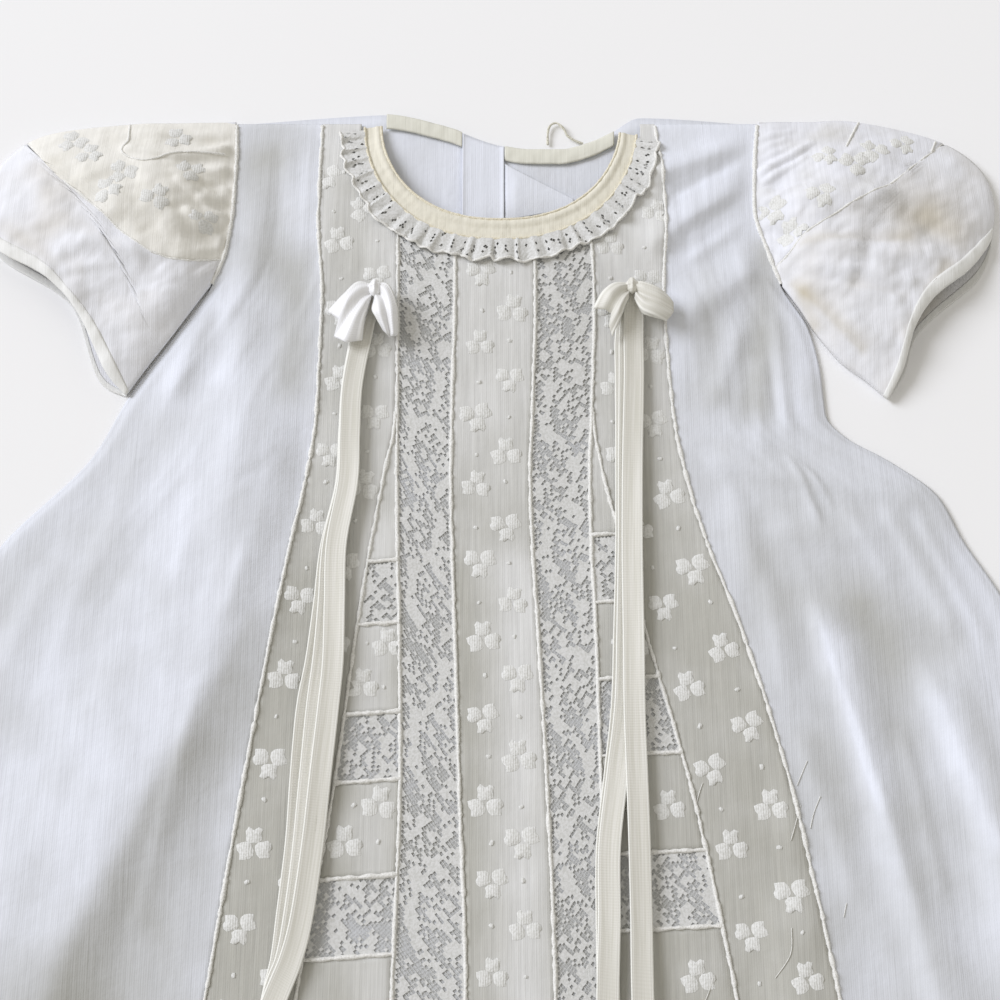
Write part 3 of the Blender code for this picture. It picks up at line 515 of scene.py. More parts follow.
def flap(u, v):
    x, top, foot = (mix(a, b, u) for a, b in zip(*FLAP))
    curl = 1.2 * (1 - u) * np.sin(math.pi * v) * fade(u * 6)
    return x, mix(top, foot, v), WALL + GAP + FLAP_RISE + LIE * u + curl


for name, where, columns in (("placket", placket, 30), ("flap", flap, 24)):
    piece = cloth_sheet(f"back_{name}_batiste", columns, 30, where, batiste)
    sew(piece, "batiste", [f"back_{name}"], *cut_of(piece))


# Every cord, whipped seam and loose thread follows a line of points: this tree turns such a line
# into a round cord whose thickness is as uneven as hand sewing.
def geometry_tree(name, inputs):
    """A Geometry Nodes tree with named inputs of (kind, default). Returns it and its two end nodes."""
    tree = bpy.data.node_groups.new(name, "GeometryNodeTree")
    tree.interface.new_socket("Geometry", in_out="INPUT", socket_type="NodeSocketGeometry")
    for label, (kind, value) in inputs.items():
        socket = tree.interface.new_socket(label, in_out="INPUT", socket_type=kind)
        if value is not None:
            socket.default_value = value
    tree.interface.new_socket("Geometry", in_out="OUTPUT", socket_type="NodeSocketGeometry")
    return tree, add_node(tree, "NodeGroupInput"), add_node(tree, "NodeGroupOutput")


def cord_tree():
    tree, given, result = geometry_tree("whipped_cord", {
        "Radius": ("NodeSocketFloat", 0.0005),
        "Step": ("NodeSocketFloat", 0.001),
        "Unevenness": ("NodeSocketFloat", 0.3),
        "Lump": ("NodeSocketFloat", 0.0015),
        "Sides": ("NodeSocketInt", 6),
        "Material": ("NodeSocketMaterial", None),
    })
    line = add_node(tree, "GeometryNodeMeshToCurve", {"Mesh": given.outputs["Geometry"]})
    even = add_node(
        tree, "GeometryNodeResampleCurve", {"Curve": line.outputs[0], "Length": given.outputs["Step"]},
        mode="LENGTH",
    )
    lumps = add_node(tree, "ShaderNodeMath", {0: 1.0, 1: given.outputs["Lump"]}, operation="DIVIDE")
    place = add_node(tree, "GeometryNodeInputPosition")
    uneven = add_node(
        tree, "ShaderNodeTexNoise", {"Vector": place.outputs[0], "Scale": lumps.outputs[0], "Detail": 1.0}
    )
    low = add_node(tree, "ShaderNodeMath", {0: 1.0, 1: given.outputs["Unevenness"]}, operation="SUBTRACT")
    high = add_node(tree, "ShaderNodeMath", {0: 1.0, 1: given.outputs["Unevenness"]}, operation="ADD")
    scale = add_node(tree, "ShaderNodeMapRange", {
        "Value": uneven.outputs["Fac"], "From Min": 0.3, "From Max": 0.7,
        "To Min": low.outputs[0], "To Max": high.outputs[0],
    })
    ring = add_node(
        tree, "GeometryNodeCurvePrimitiveCircle",
        {"Resolution": given.outputs["Sides"], "Radius": given.outputs["Radius"]},
    )
    cord = add_node(tree, "GeometryNodeCurveToMesh", {
        "Curve": even.outputs[0], "Profile Curve": ring.outputs[0], "Scale": scale.outputs[0],
        "Fill Caps": True,
    })
    smooth = add_node(tree, "GeometryNodeSetShadeSmooth", {0: cord.outputs[0]})
    whole = add_node(tree, "GeometryNodeRealizeInstances", {0: smooth.outputs[0]})
    finish = add_node(
        tree, "GeometryNodeSetMaterial", {"Geometry": whole.outputs[0], "Material": given.outputs["Material"]}
    )
    tree.links.new(finish.outputs[0], result.inputs[0])
    return tree


def grown(name, mesh, tree, values):
    """The plain mesh that a Geometry Nodes tree makes of a mesh, as a new piece."""
    seed = new_piece(name + "_lines", mesh)
    modifier = seed.modifiers.new("grow", "NODES")
    modifier.node_group = tree
    for item in tree.interface.items_tree:
        if item.item_type == "SOCKET" and item.in_out == "INPUT" and item.name in values:
            modifier[item.identifier] = values[item.name]
    depsgraph = bpy.context.evaluated_depsgraph_get()
    made = bpy.data.meshes.new_from_object(seed.evaluated_get(depsgraph))
    made.name = name
    bpy.data.objects.remove(seed, do_unlink=True)
    return new_piece(name, made)


CORDS = cord_tree()


def cords(name, lines, material, radius=0.5, step=1.2, unevenness=0.3, lump=1.6, sides=6, nodes=()):
    """Round cords along lines of (x, down, z) points in mm, as one piece.

    Their thickness varies by the unevenness, in lumps this long, and step is from ring to ring.
    """
    points, edges = [], []
    for line in lines:
        start = len(points)
        points += [(x * MM, (MIDDLE - down) * MM, z * MM) for x, down, z in line]
        edges += [(k, k + 1) for k in range(start, len(points) - 1)]
    mesh = bpy.data.meshes.new(name)
    mesh.from_pydata(points, edges, [])
    piece = grown(name, mesh, CORDS, {
        "Radius": radius * MM, "Step": step * MM, "Unevenness": unevenness, "Lump": lump * MM,
        "Sides": sides, "Material": material,
    })
    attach(piece, "root")
    if nodes:
        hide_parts(*nodes)


def thread(name, light, dark, size=0.0007, depth=0.0003, rows=0.0):
    """Soft cotton sewing thread, twisted: a bright white, darker between its stitches, a painted shade
    where the same noise sets them low.

    size is how far apart the stitches are and depth how far they stand up, in metres. rows is how
    deep the furrows are between rows of stitches, drawn 0.9 mm apart.
    """
    material = bpy.data.materials.new(name)
    material.use_nodes = True
    tree = material.node_tree
    shader = tree.nodes["Principled BSDF"]
    place = add_node(tree, "ShaderNodeTexCoord").outputs["Object"]
    twist = add_node(tree, "ShaderNodeTexNoise", {"Vector": place, "Scale": 1 / size, "Detail": 2.0})
    share = add_node(
        tree, "ShaderNodeMapRange", {"Value": twist.outputs["Fac"], "From Min": 0.35, "From Max": 0.6}
    )
    ground = add_node(
        tree, "ShaderNodeMix", {0: share.outputs[0], 6: colour(dark), 7: colour(light)}, data_type="RGBA"
    )
    raised = add_node(
        tree, "ShaderNodeBump", {"Height": twist.outputs["Fac"], "Distance": depth, "Strength": 1.0}
    )
    tree.links.new(ground.outputs[2], shader.inputs["Base Color"])
    if rows:
        bands = add_node(
            tree, "ShaderNodeTexWave", {"Vector": place, "Scale": BANDS / 0.0009, "Distortion": 2.0}
        )
        raised = add_node(
            tree, "ShaderNodeBump",
            {"Height": bands.outputs["Fac"], "Distance": rows, "Strength": 1.0, "Normal": raised.outputs[0]},
        )
    tree.links.new(raised.outputs[0], shader.inputs["Normal"])
    shader.inputs["Roughness"].default_value = 0.8
    shader.inputs["Sheen Weight"].default_value = 0.2
    return material


# Sewing cotton, twisted and matt, the whitest thing here.
white_thread = thread("white_cotton_thread", "#F2F1ED", "#DBDAD4")
cream_thread = thread("aged_cotton_thread", "#E4E1D2", "#B9B6A4")

tie_line = [
    (*point, TIE_RADIUS * 1.2 + 0.5 * math.sin(math.pi * t))
    for t, point in ((k / 30, path_point(TIE, k / 30)) for k in range(31))
]
cords("neck_tie_cotton", [tie_line], cream_thread, unevenness=0.25, nodes=["neck_tie"])


# The centre strip runs from the neck to the hem between the two lace insertions. It is sheer
# cotton, sewn at both sides with a rolled and whipped seam.
#
# Painted shade: these tables darken the cloth's colour where thin cloth over a dip, or a fold's far
# side, would be in shade, in the columns of the folds with a share in place of the rise. A share
# below 0 paints the cloth lighter, a painted highlight. The first is for the plain sides, and the
# second for the sheer strips.
PLAIN_SHADES = [
    (-90, 215, -104, 250, 4, 22, 0.35),
    (-104, 250, -122, 285, 5, 30, 0.42),
    (-122, 285, -146, 338, 6, 40, 0.42),
    (-146, 338, -206, 600, 8, 60, 0.42),
    (-186, 190, -212, 330, 16, 16, 0.30),
    (-150, 345, -185, 470, 40, 22, 0.40),
    (-98, -10, -90, 30, 16, 14, 0.30),
    (-98, 12, -92, 78, 16, 12, 0.40),
    (-80, 60, -82, 130, 8, 9, 0.45),
    (112, 55, 101, 135, 8, 9, 0.60),
    (84, 66, 86, 130, 9, 8, 0.35),
    (96, 178, 112, 222, 12, 12, 0.25),
    (134, 205, 154, 242, 12, 11, 0.50),
    (147, 250, 156, 320, 8, 8, 0.12),
    (118, 255, 128, 300, 10, 8, 0.20),
    (178, 190, 222, 400, 9, 44, -0.40),
    (122, 220, 139, 290, 1.5, 8, -0.30),
    (165, 246, 182, 303, 6, 3, -0.25),
    (-130, 120, -165, 200, 20, 12, 0.12),
]
PANEL_SHADES = [
    (-57, 20, -62, 130, 16, 14, 0.55),
    (-68, 190, -88, 360, 12, 8, 0.20),
    (-47, 175, -43, 360, 8, 8, -0.55),
    (8, 190, 9, 400, 10, 12, -0.85),
    (-14, 190, -14, 400, 6, 6, 0.25),
    (54, 30, 60, 90, 10, 16, -0.10),
    (44, 90, 66, 230, 12, 16, 0.30),
    (80, 190, 118, 400, 12, 14, 0.10),
]


# Painted shade of the plain sides: a base share, more down the viewer's right side, and the table's.
def plain_painted_shade(x, down):
    base = np.where(x < 0, 0.08, mix(-0.05, 0.30, fade((down - 60) / 140)))
    return base + fold_rise(PLAIN_SHADES, x, down)


# Painted shade of the sheer strips: more towards the hem, and the table's.
def panel_painted_shade(x, down):
    return 0.05 + 0.85 * fade((down - 60) / 210) + fold_rise(PANEL_SHADES, x, down)


# Sheer cotton, worked with clovers: thinner than the batiste, and greyer, painted shade for the
# shade beneath showing through it.
sheer = plain_weave(
    "sheer_cotton_lawn", "#DDDDDB", "#B9B8B0", slub=0.07, sheen=0.05, crumple=0.0003, mottle=0.022
)


# The centre strip runs from the neck to the hem between the two lace insertions. It is sheer
# cotton, sewn at both sides with a rolled and whipped seam.
NECK_FOOT = NECK_OUT[1] + NECK_DOWN  # how far down the neckline reaches


def between_seams(left, right):
    """The lie of a strip between two seams, from the neckline to the hem."""
    def where(u, v):
        rough = mix(seam(left, NECK_FOOT), seam(right, NECK_FOOT), u)
        down = mix(neck_down(rough, NECK_OUT) + SET_IN, LENGTH, v)
        x = mix(seam(left, down), seam(right, down), u)
        return x, down, front_top(x, down)

    return where


centre_lie = between_seams("lace_in_left", "lace_in_right")
centre_cloth = cloth_sheet("centre_strip_lawn", 14, 220, centre_lie, sheer, hollow=panel_painted_shade)
sew(centre_cloth, "clover_batiste", ["centre_strip"], *cut_of(centre_cloth))


# The outer clover bands, one to each side, run from the shoulder past the neck and down beside
# the ladder. They are the same sheer cotton, in one length each.
LONG_ROWS, YOKE_SHARE = 28, 9 / 28


def row_down(v):
    """How far down the rows of the shoulder pieces lie: closer together above the underarm."""
    upper = ARMHOLE_FOOT * v / YOKE_SHARE
    lower = mix(ARMHOLE_FOOT, LENGTH, np.maximum((v - YOKE_SHARE) / (1 - YOKE_SHARE), 0) ** 1.25)
    return np.where(v < YOKE_SHARE, upper, lower)


def clover_band(side):
    sign = -1 if side == "left" else 1

    def where(u, v):
        down = row_down(v)
        inner = np.maximum(sign * seam(f"ladder_{side}", down), sign * neck_x(side, down, NECK_OUT) + SET_IN)
        outer = sign * seam(f"strip_{side}", down)
        x = mix(-outer, -inner, u) if side == "left" else mix(inner, outer, u)
        return x, down, front_top(x, down)

    return cloth_sheet(f"clover_band_{side}_lawn", 16, 220, where, sheer, hollow=panel_painted_shade)


band_cloth = {side: clover_band(side) for side in ("left", "right")}
for side, piece in band_cloth.items():
    sew(piece, "clover_batiste", [f"clover_band_{side}"], *cut_of(piece))


# The plain sides of the front: white batiste from the outer band to the armhole and the side
# seam. They are the widest pieces, and hold the large folds and the drag lines of the armholes.
def side_front(side):
    sign = -1 if side == "left" else 1

    def where(u, v):
        down = row_down(v)
        inner = sign * seam(f"strip_{side}", down)
        outer = sign * edge(side, down)
        x = mix(-outer, -inner, u) if side == "left" else mix(inner, outer, u)
        return x, down, front_top(x, down)

    return cloth_sheet(f"side_front_{side}_batiste", 76, 240, where, batiste, hollow=plain_painted_shade)


for side in ("left", "right"):
    piece = side_front(side)
    sew(piece, "batiste", [f"side_front_{side}"], *cut_of(piece))


# The lace insertions: machine-made cotton lace, a diamond net with flowers, leaves and a winding
# stem worked solid in it. The net's mesh is about 1.4 mm across; it is drawn at 1.7 mm.
NET_PITCH, NET_THREAD = 1.7, 0.31
LACE_REPEAT, LACE_WIDTH = 58.0, 23.0
# The flowers and leaves of one repeat: place across and along, and their sizes.
LACE_FLOWERS = [
    (-4.2, 11.0, 6.0, 5), (4.4, 38.0, 5.8, 6), (-7.4, 37.0, 3.0, 0), (7.2, 16.5, 3.2, 0), (-1.0, 53.5, 3.4, 4),
    (-6.5, 22.5, 2.6, 0),
]
LACE_LEAVES = [
    (5.6, 25.5, 6.0, 2.6, 60), (7.0, 6.0, 4.8, 2.2, 95), (-5.4, 28.5, 5.6, 2.5, 105),
    (-5.4, 46.0, 6.2, 2.6, 68), (7.4, 50.0, 4.8, 2.3, 110), (0.4, 20.5, 4.0, 1.9, 30),
    (0.0, 31.0, 3.4, 1.7, 140),
]
STEM_SWING, STEM_HALF, STEM_PHASE, LACE_EDGE = 5.5, 1.3, 0.6, 1.5
RELIEF = 0.06  # how far worked lace stands above the net
PINHOLE, CLOSED = 0.07, 0.24  # chances of a hole in worked lace, and of a closed mesh in the net


def worked(across, along, half):
    """Whether the lace is worked solid at this place, across from its middle and along its repeat."""
    along = along % LACE_REPEAT
    if half - abs(across) < LACE_EDGE:
        return True
    if abs(across - STEM_SWING * math.sin(2 * math.pi * along / LACE_REPEAT + STEM_PHASE)) < STEM_HALF:
        return True
    for x, y, radius, petals in LACE_FLOWERS:
        near = math.hypot(across - x, along - y)
        if near < radius:
            turn = math.atan2(along - y, across - x)
            petal = math.cos(petals * turn) > -0.5 if petals else True
            if near < 0.26 * radius or (near > 0.46 * radius and petal):
                return True
    for x, y, long, wide, angle in LACE_LEAVES:
        lean = math.radians(angle)
        a = (across - x) * math.cos(lean) + (along - y) * math.sin(lean)
        b = (along - y) * math.cos(lean) - (across - x) * math.sin(lean)
        if (a / long) ** 2 + (b / wide) ** 2 < 1:
            return True
    return False


# Cotton lace thread: a soft off-white, fuzzy enough to have no gloss.
lace_cotton = thread("cotton_lace", "#DCDCDA", "#CDCDC9", size=0.0009, depth=0.0002)


def diamond_cells(bm, wide, long, pitch, draw):
    """The faces of a flat diamond net in a bmesh, each with its middle."""
    across, rows = max(2, round(wide / pitch)), 2 * max(2, round(long / pitch))
    step, row = wide / across, long / rows
    lines = []
    for j in range(rows + 1):
        places = [step * (i + 0.5 * (j % 2)) for i in range(across + 1 - j % 2)]
        lines.append([
            bm.verts.new((
                min(max(x + draw.uniform(-0.1, 0.1) * pitch * (0 < x < wide), 0), wide),
                -j * row + draw.uniform(-0.1, 0.1) * pitch * (0 < j < rows), 0.0,
            ))
            for x in places
        ])
    rings = []
    for j, own in enumerate(lines):
        above = lines[j - 1] if j else None
        below = lines[j + 1] if j < rows else None
        if j % 2:
            rings += [(own[i], below[i + 1], own[i + 1], above[i + 1]) for i in range(across - 1)]
            rings += [(above[0], below[0], own[0]), (below[across], above[across], own[-1])]
        else:
            for i in range(across):
                ring = [own[i], below and below[i], own[i + 1], above and above[i]]
                rings.append([vert for vert in ring if vert])
    return [bm.faces.new(ring) for ring in rings]


def lace_net(mesh, cut, where, solid, shift=0.0, seed=1, pitch=NET_PITCH, strand=NET_THREAD, pinhole=PINHOLE):
    """Adds a flat net, cut (wide, long) mm, to a bmesh, with its solid places worked, and lays it.

    where(u, v) lays it in mm, and solid(across, along) tells where it is worked.
    """
    draw = random.Random(seed)
    bm = bmesh.new()
    wide, long = cut
    open_cells, worked_verts = [], set()
    for cell in diamond_cells(bm, wide, long, pitch, draw):
        centre = cell.calc_center_median()
        full = solid(centre.x - wide / 2, shift - centre.y)
        if draw.random() < (pinhole if full else CLOSED):
            full = not full
        if full or len(cell.verts) == 3:
            worked_verts.update(cell.verts)
        else:
            open_cells.append(cell)
    bmesh.ops.inset_individual(bm, faces=open_cells, thickness=strand, use_even_offset=True)
    bmesh.ops.delete(bm, geom=open_cells, context="FACES_ONLY")
    verts = list(bm.verts)
    u = np.array([vert.co.x for vert in verts]) / wide
    v = np.array([-vert.co.y for vert in verts]) / long
    x, down, z = where(u, v)
    relief = np.array([RELIEF if vert in worked_verts else 0.0 for vert in verts])
    for vert, a, b, c in zip(verts, x.tolist(), down.tolist(), (z + relief).tolist()):
        vert.co = (a * MM, (MIDDLE - b) * MM, c * MM)
    bm.normal_update()
    flat = bpy.data.meshes.new("net")
    bm.to_mesh(flat)
    bm.free()
    mesh.from_mesh(flat)
    bpy.data.meshes.remove(flat)


def lace_piece(name, nets):
    """One lace piece from nets, each the arguments of lace_net."""
    bm = bmesh.new()
    for net in nets:
        lace_net(bm, **net)
    mesh = bpy.data.meshes.new(name)
    bm.to_mesh(mesh)
    bm.free()
    mesh.materials.append(lace_cotton)
    piece = new_piece(name, mesh)
    add_wall(piece, LACE_THICK)
    return piece


INSERTION_LENGTH = LENGTH - 58.0  # from the neckline to the hem
for side, left, right, shift in (
    ("left", "lace_out_left", "lace_in_left", 0.0), ("right", "lace_in_right", "lace_out_right", 21.0)
):
    piece = lace_piece(f"lace_insertion_{side}_net", [{
        "cut": (LACE_WIDTH, INSERTION_LENGTH), "where": between_seams(left, right), "shift": shift,
        "solid": lambda across, along: worked(across, along, LACE_WIDTH / 2), "seed": 3,
    }])
    sew(piece, "lace", [f"lace_insertion_{side}"], (LACE_WIDTH * MM, INSERTION_LENGTH * MM))


# The ladders: a gore outside each insertion, of short blocks of sheer clover cotton and of lace
# in turn, joined by rolled seams like the rungs of a ladder.
LADDER_TOP = 132.0
LADDER_LEFT = [LADDER_TOP, 194, 219, 253.5, 279, 314, 342, 384, 418, 470, 512, LENGTH]
LADDER_RIGHT = [LADDER_TOP, 183, 210, 240, 269, 305, 332, 374, 408, 460, 502, LENGTH]
LADDER_CUTS = {"left": LADDER_LEFT, "right": LADDER_RIGHT}
RUNG_SLOPE = {"left": -0.07, "right": -0.05}  # the rungs climb a little to the right


def ladder_seams(side):
    outer, inner = f"ladder_{side}", f"lace_out_{side}"
    return (outer, inner) if side == "left" else (inner, outer)


def ladder_lie(side, top, foot):
    left, right = ladder_seams(side)

    def where(u, v):
        down = mix(top, foot, v)
        x = mix(seam(left, down), seam(right, down), u)
        slope = RUNG_SLOPE[side] * (x - seam(left, down)) * (0.0 if foot == LENGTH else 1.0)
        down = down + slope * (1.0 if top > LADDER_TOP else v)
        return x, down, front_top(x, down)

    return where


def clover_blocks(side):
    """All the clover blocks of a ladder, as one piece of separate blocks."""
    cuts = LADDER_CUTS[side]
    blocks, nodes = [], []
    wide = area = 0.0
    for k in range(0, len(cuts) - 1, 2):
        top, foot = cuts[k], cuts[k + 1]
        rows = max(8, round((foot - top) / 2.5))
        lie = ladder_lie(side, top, foot)
        block = cloth_sheet(f"block_{side}_{k}", 12, rows, lie, sheer, hollow=panel_painted_shade)
        (across, _), covered = cut_of(block)
        wide, area = max(wide, across), area + covered
        blocks.append(block)
        nodes.append(f"ladder_{side}_{k + 1}_clover")
    joined = bmesh.new()
    for block in blocks:
        joined.from_mesh(block.data)
        bpy.data.objects.remove(block, do_unlink=True)
    mesh = bpy.data.meshes.new(f"ladder_{side}_lawn")
    joined.to_mesh(mesh)
    joined.free()
    mesh.materials.append(sheer)
    mesh.shade_smooth()
    piece = new_piece(mesh.name, mesh)
    add_wall(piece, CLOTH)
    return piece, nodes, wide, area


ladder_cloth = {}
for side in ("left", "right"):
    piece, nodes, wide, area = clover_blocks(side)
    ladder_cloth[side] = piece
    sew(piece, "clover_batiste", nodes, (wide, area / wide))

    cuts = LADDER_CUTS[side]
    nets, nodes = [], []
    for k in range(1, len(cuts) - 1, 2):
        top, foot = cuts[k], cuts[k + 1]
        middle = (top + foot) / 2
        left, right = ladder_seams(side)
        wide = float(seam(right, middle) - seam(left, middle))
        nets.append({
            "cut": (wide, foot - top), "where": ladder_lie(side, top, foot), "shift": 17.0 * k, "seed": k,
            "solid": lambda across, along: worked((across + 9) % LACE_WIDTH - 9, along, 40.0),
        })
        nodes.append(f"ladder_{side}_{k + 1}_lace")
    piece = lace_piece(f"ladder_{side}_net", nets)
    wide = max(net["cut"][0] for net in nets) * MM
    area = sum(net["cut"][0] * net["cut"][1] for net in nets) * MM * MM
    sew(piece, "lace", nodes, (wide, area / wide))


# The seams of the front: each edge was rolled and whipped over a cord, which left a thin bright
# uneven line from the neck or shoulder to the hem, and short ones across the ladders.
def on_front(points, lift=0.15, wander=0.25, seed=0.0):
    """A line of (x, down) points laid on the front, straying a little as hand sewing does."""
    x, down = np.array(points, float).T
    x = x + wander * rumple(x * 0, down, 1, 7, seed)
    return list(zip(x.tolist(), down.tolist(), (front_top(x, down) + lift).tolist()))


seam_lines = []
for k, name in enumerate(SEAMS):
    side = "left" if "left" in name else "right"
    if name.startswith("strip"):
        top = 1.5
    elif name.startswith("ladder"):
        top = LADDER_TOP
    else:
        top = float(neck_down(seam(name, NECK_OUT[1] + NECK_DOWN), NECK_OUT)) + 1.5
    downs = np.arange(top, LENGTH, 2.0)
    seam_lines.append(on_front(np.stack([seam(name, downs), downs], axis=1), seed=3.0 * k))
cords("long_seams", seam_lines, white_thread, radius=0.72, step=1.3, unevenness=0.45, lump=2.2)

rungs = []
for side, cuts in LADDER_CUTS.items():
    left, right = ladder_seams(side)
    for k, down in enumerate(cuts[1:-1]):
        x = np.linspace(float(seam(left, down)), float(seam(right, down)), 14)
        fall = down + RUNG_SLOPE[side] * (x - x[0]) + 0.35 * rumple(x, x * 0, 4, 1, 5.0 * k)
        rungs.append(list(zip(x.tolist(), fall.tolist(), (front_top(x, fall) + 0.2).tolist())))
cords("ladder_rungs", rungs, white_thread, radius=0.85, step=1.2, unevenness=0.4, lump=1.6)


# The embroidery: clovers of three padded leaves, worked in white cotton thread in two staggered
# rows, with a small dot beside each. This tree sets them on the cloth.
def scatter_tree():
    tree, given, result = geometry_tree("embroidery", {
        "Motif": ("NodeSocketObject", None),
        "Cloth": ("NodeSocketObject", None),
        "Lift": ("NodeSocketFloat", 0.0001),
        "Material": ("NodeSocketMaterial", None),
    })
    motif = add_node(tree, "GeometryNodeObjectInfo", {"Object": given.outputs["Motif"]})
    cloth = add_node(tree, "GeometryNodeObjectInfo", {"Object": given.outputs["Cloth"]})
    turn = add_node(tree, "GeometryNodeInputNamedAttribute", {"Name": "turn"}, data_type="FLOAT")
    size = add_node(tree, "GeometryNodeInputNamedAttribute", {"Name": "size"}, data_type="FLOAT")
    spin = add_node(tree, "ShaderNodeCombineXYZ", {"Z": turn.outputs[0]})
    placed = add_node(tree, "GeometryNodeInstanceOnPoints", {
        "Points": given.outputs["Geometry"], "Instance": motif.outputs["Geometry"],
        "Rotation": spin.outputs[0], "Scale": size.outputs[0],
    })
    whole = add_node(tree, "GeometryNodeRealizeInstances", {0: placed.outputs[0]})
    place = add_node(tree, "GeometryNodeInputPosition")
    parts = add_node(tree, "ShaderNodeSeparateXYZ", {0: place.outputs[0]})
    above = add_node(tree, "ShaderNodeCombineXYZ", {"X": parts.outputs[0], "Y": parts.outputs[1], "Z": 0.2})
    ray = add_node(tree, "GeometryNodeRaycast", {
        "Target Geometry": cloth.outputs["Geometry"], "Source Position": above.outputs[0],
        "Ray Direction": (0.0, 0.0, -1.0), "Ray Length": 1.0,
    })
    height = add_node(tree, "ShaderNodeMath", {0: parts.outputs[2], 1: given.outputs["Lift"]}, operation="ADD")
    lift = add_node(tree, "ShaderNodeCombineXYZ", {"Z": height.outputs[0]})
    landed = add_node(
        tree, "ShaderNodeVectorMath", {0: ray.outputs["Hit Position"], 1: lift.outputs[0]}, operation="ADD"
    )
    missed = add_node(tree, "FunctionNodeBooleanMath", {0: ray.outputs["Is Hit"]}, operation="NOT")
    marked = add_node(
        tree, "GeometryNodeStoreNamedAttribute",
        {"Geometry": whole.outputs[0], "Name": "missed", "Value": missed.outputs[0]}, data_type="BOOLEAN",
    )
    laid = add_node(
        tree, "GeometryNodeSetPosition", {"Geometry": marked.outputs[0], "Position": landed.outputs[0]}
    )
    off = add_node(tree, "GeometryNodeInputNamedAttribute", {"Name": "missed"}, data_type="BOOLEAN")
    kept = add_node(
        tree, "GeometryNodeDeleteGeometry", {"Geometry": laid.outputs[0], "Selection": off.outputs[0]}
    )
    smooth = add_node(tree, "GeometryNodeSetShadeSmooth", {0: kept.outputs[0]})
    finish = add_node(
        tree, "GeometryNodeSetMaterial",
        {"Geometry": smooth.outputs[0], "Material": given.outputs["Material"]},
    )
    tree.links.new(finish.outputs[0], result.inputs[0])
    return tree


SCATTER = scatter_tree()


PAD = 0.30  # how high the stitches stand


def motif_object(name, lobes, turns=12):
    """A padded motif of lobes (x, y, radius, outward angle), each notched outward like a leaf."""
    draw = random.Random(5)
    bm = bmesh.new()
    for x, y, radius, facing in lobes:
        rings = []
        for share, high in ((1.0, 0.0), (0.80, PAD)):
            ring = []
            for k in range(turns):
                angle = facing + 2 * math.pi * k / turns
                notch = 0.30 if k == 0 else (-0.10 if k in (1, 2, turns - 1, turns - 2) else 0.0)
                square = (abs(math.cos(angle)) ** 4 + abs(math.sin(angle)) ** 4) ** -0.25
                reach = 0.94 * radius * share * square * (1 - notch) * draw.uniform(0.9, 1.1)
                ring.append(bm.verts.new((
                    (x + reach * math.cos(angle)) * MM, (y + reach * math.sin(angle)) * MM, high * MM
                )))
            rings.append(ring)
        outer, inner = rings
        middle = bm.verts.new((x * MM, y * MM, PAD * MM))
        for k in range(turns):
            n = (k + 1) % turns
            bm.faces.new((outer[k], outer[n], inner[n], inner[k]))
            bm.faces.new((inner[k], inner[n], middle))
    mesh = bpy.data.meshes.new(name)
    bm.to_mesh(mesh)
    bm.free()
    return new_piece(name, mesh)


LEAF_REACH, LEAF_RADIUS = 3.7, 3.1
clover_motif = motif_object("clover", [
    (LEAF_REACH * math.cos(a), LEAF_REACH * math.sin(a), LEAF_RADIUS, a)
    for a in (math.radians(25), math.radians(155), math.radians(270))
])
dot_motif = motif_object("dot", [(0.0, 0.0, 0.9, 0.0)], 6)

# Raised satin stitch: rows of soft white thread, broken up by the shade between them.
satin_stitch = thread("satin_stitch", "#E6E6E3", "#D6D6D1", size=0.0008, depth=0.0002, rows=0.00006)


def embroider(name, motif, cloth, spots):
    """Sets a motif on a cloth at spots of (x, down, turn, size)."""
    mesh = bpy.data.meshes.new(name)
    mesh.from_pydata([(x * MM, (MIDDLE - down) * MM, 0.0) for x, down, _, _ in spots], [], [])
    for label, column in (("turn", 2), ("size", 3)):
        values = mesh.attributes.new(label, "FLOAT", "POINT")
        values.data.foreach_set("value", [spot[column] for spot in spots])
    piece = grown(name, mesh, SCATTER, {
        "Motif": motif, "Cloth": cloth, "Lift": 0.05 * MM, "Material": satin_stitch,
    })
    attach(piece, "root")


CLOVER_PITCH = 30.4  # between two clovers of a row
CLOVER_ROOM = 13  # the narrowest cloth that holds one
draw = random.Random(11)


def clover_spots(left, right, first, shares, top=0.0, foot=LENGTH, clear=5.0):
    """Clovers and dots in staggered columns at shares of the way across, between two seams."""
    clovers, dots = [], []
    for column, share in enumerate(shares):
        for row in range(60):
            down = first + CLOVER_PITCH * (row + 0.5 * column) + draw.uniform(-1.2, 1.2)
            if not top + clear < down < foot - clear:
                continue
            x = mix(float(left(down)), float(right(down)), share) + draw.uniform(-0.8, 0.8)
            wide = float(right(down) - left(down))
            if wide < CLOVER_ROOM:
                continue
            slope = (mix(float(left(down + 10)), float(right(down + 10)), share) - x) / 10
            turn = math.atan(slope) + draw.uniform(-0.15, 0.15) + (math.pi if (row + column) % 2 else 0.0)
            clovers.append((x, down, turn, draw.uniform(0.86, 1.02)))
            other = shares[(column + 1) % len(shares)]
            beside = mix(float(left(down)), float(right(down)), other)
            dots.append((
                beside + draw.uniform(-1, 1), down + draw.uniform(-1.5, 1.5),
                0.6 * (row * 2 + column), draw.uniform(0.8, 1.1),
            ))
    return clovers, dots


def seam_line(name):
    return lambda down: seam(name, down)


def band_inner(side):
    sign = -1 if side == "left" else 1

    def line(down):
        return sign * np.maximum(sign * seam(f"ladder_{side}", down), sign * neck_x(side, down, NECK_OUT) + 9)

    return line


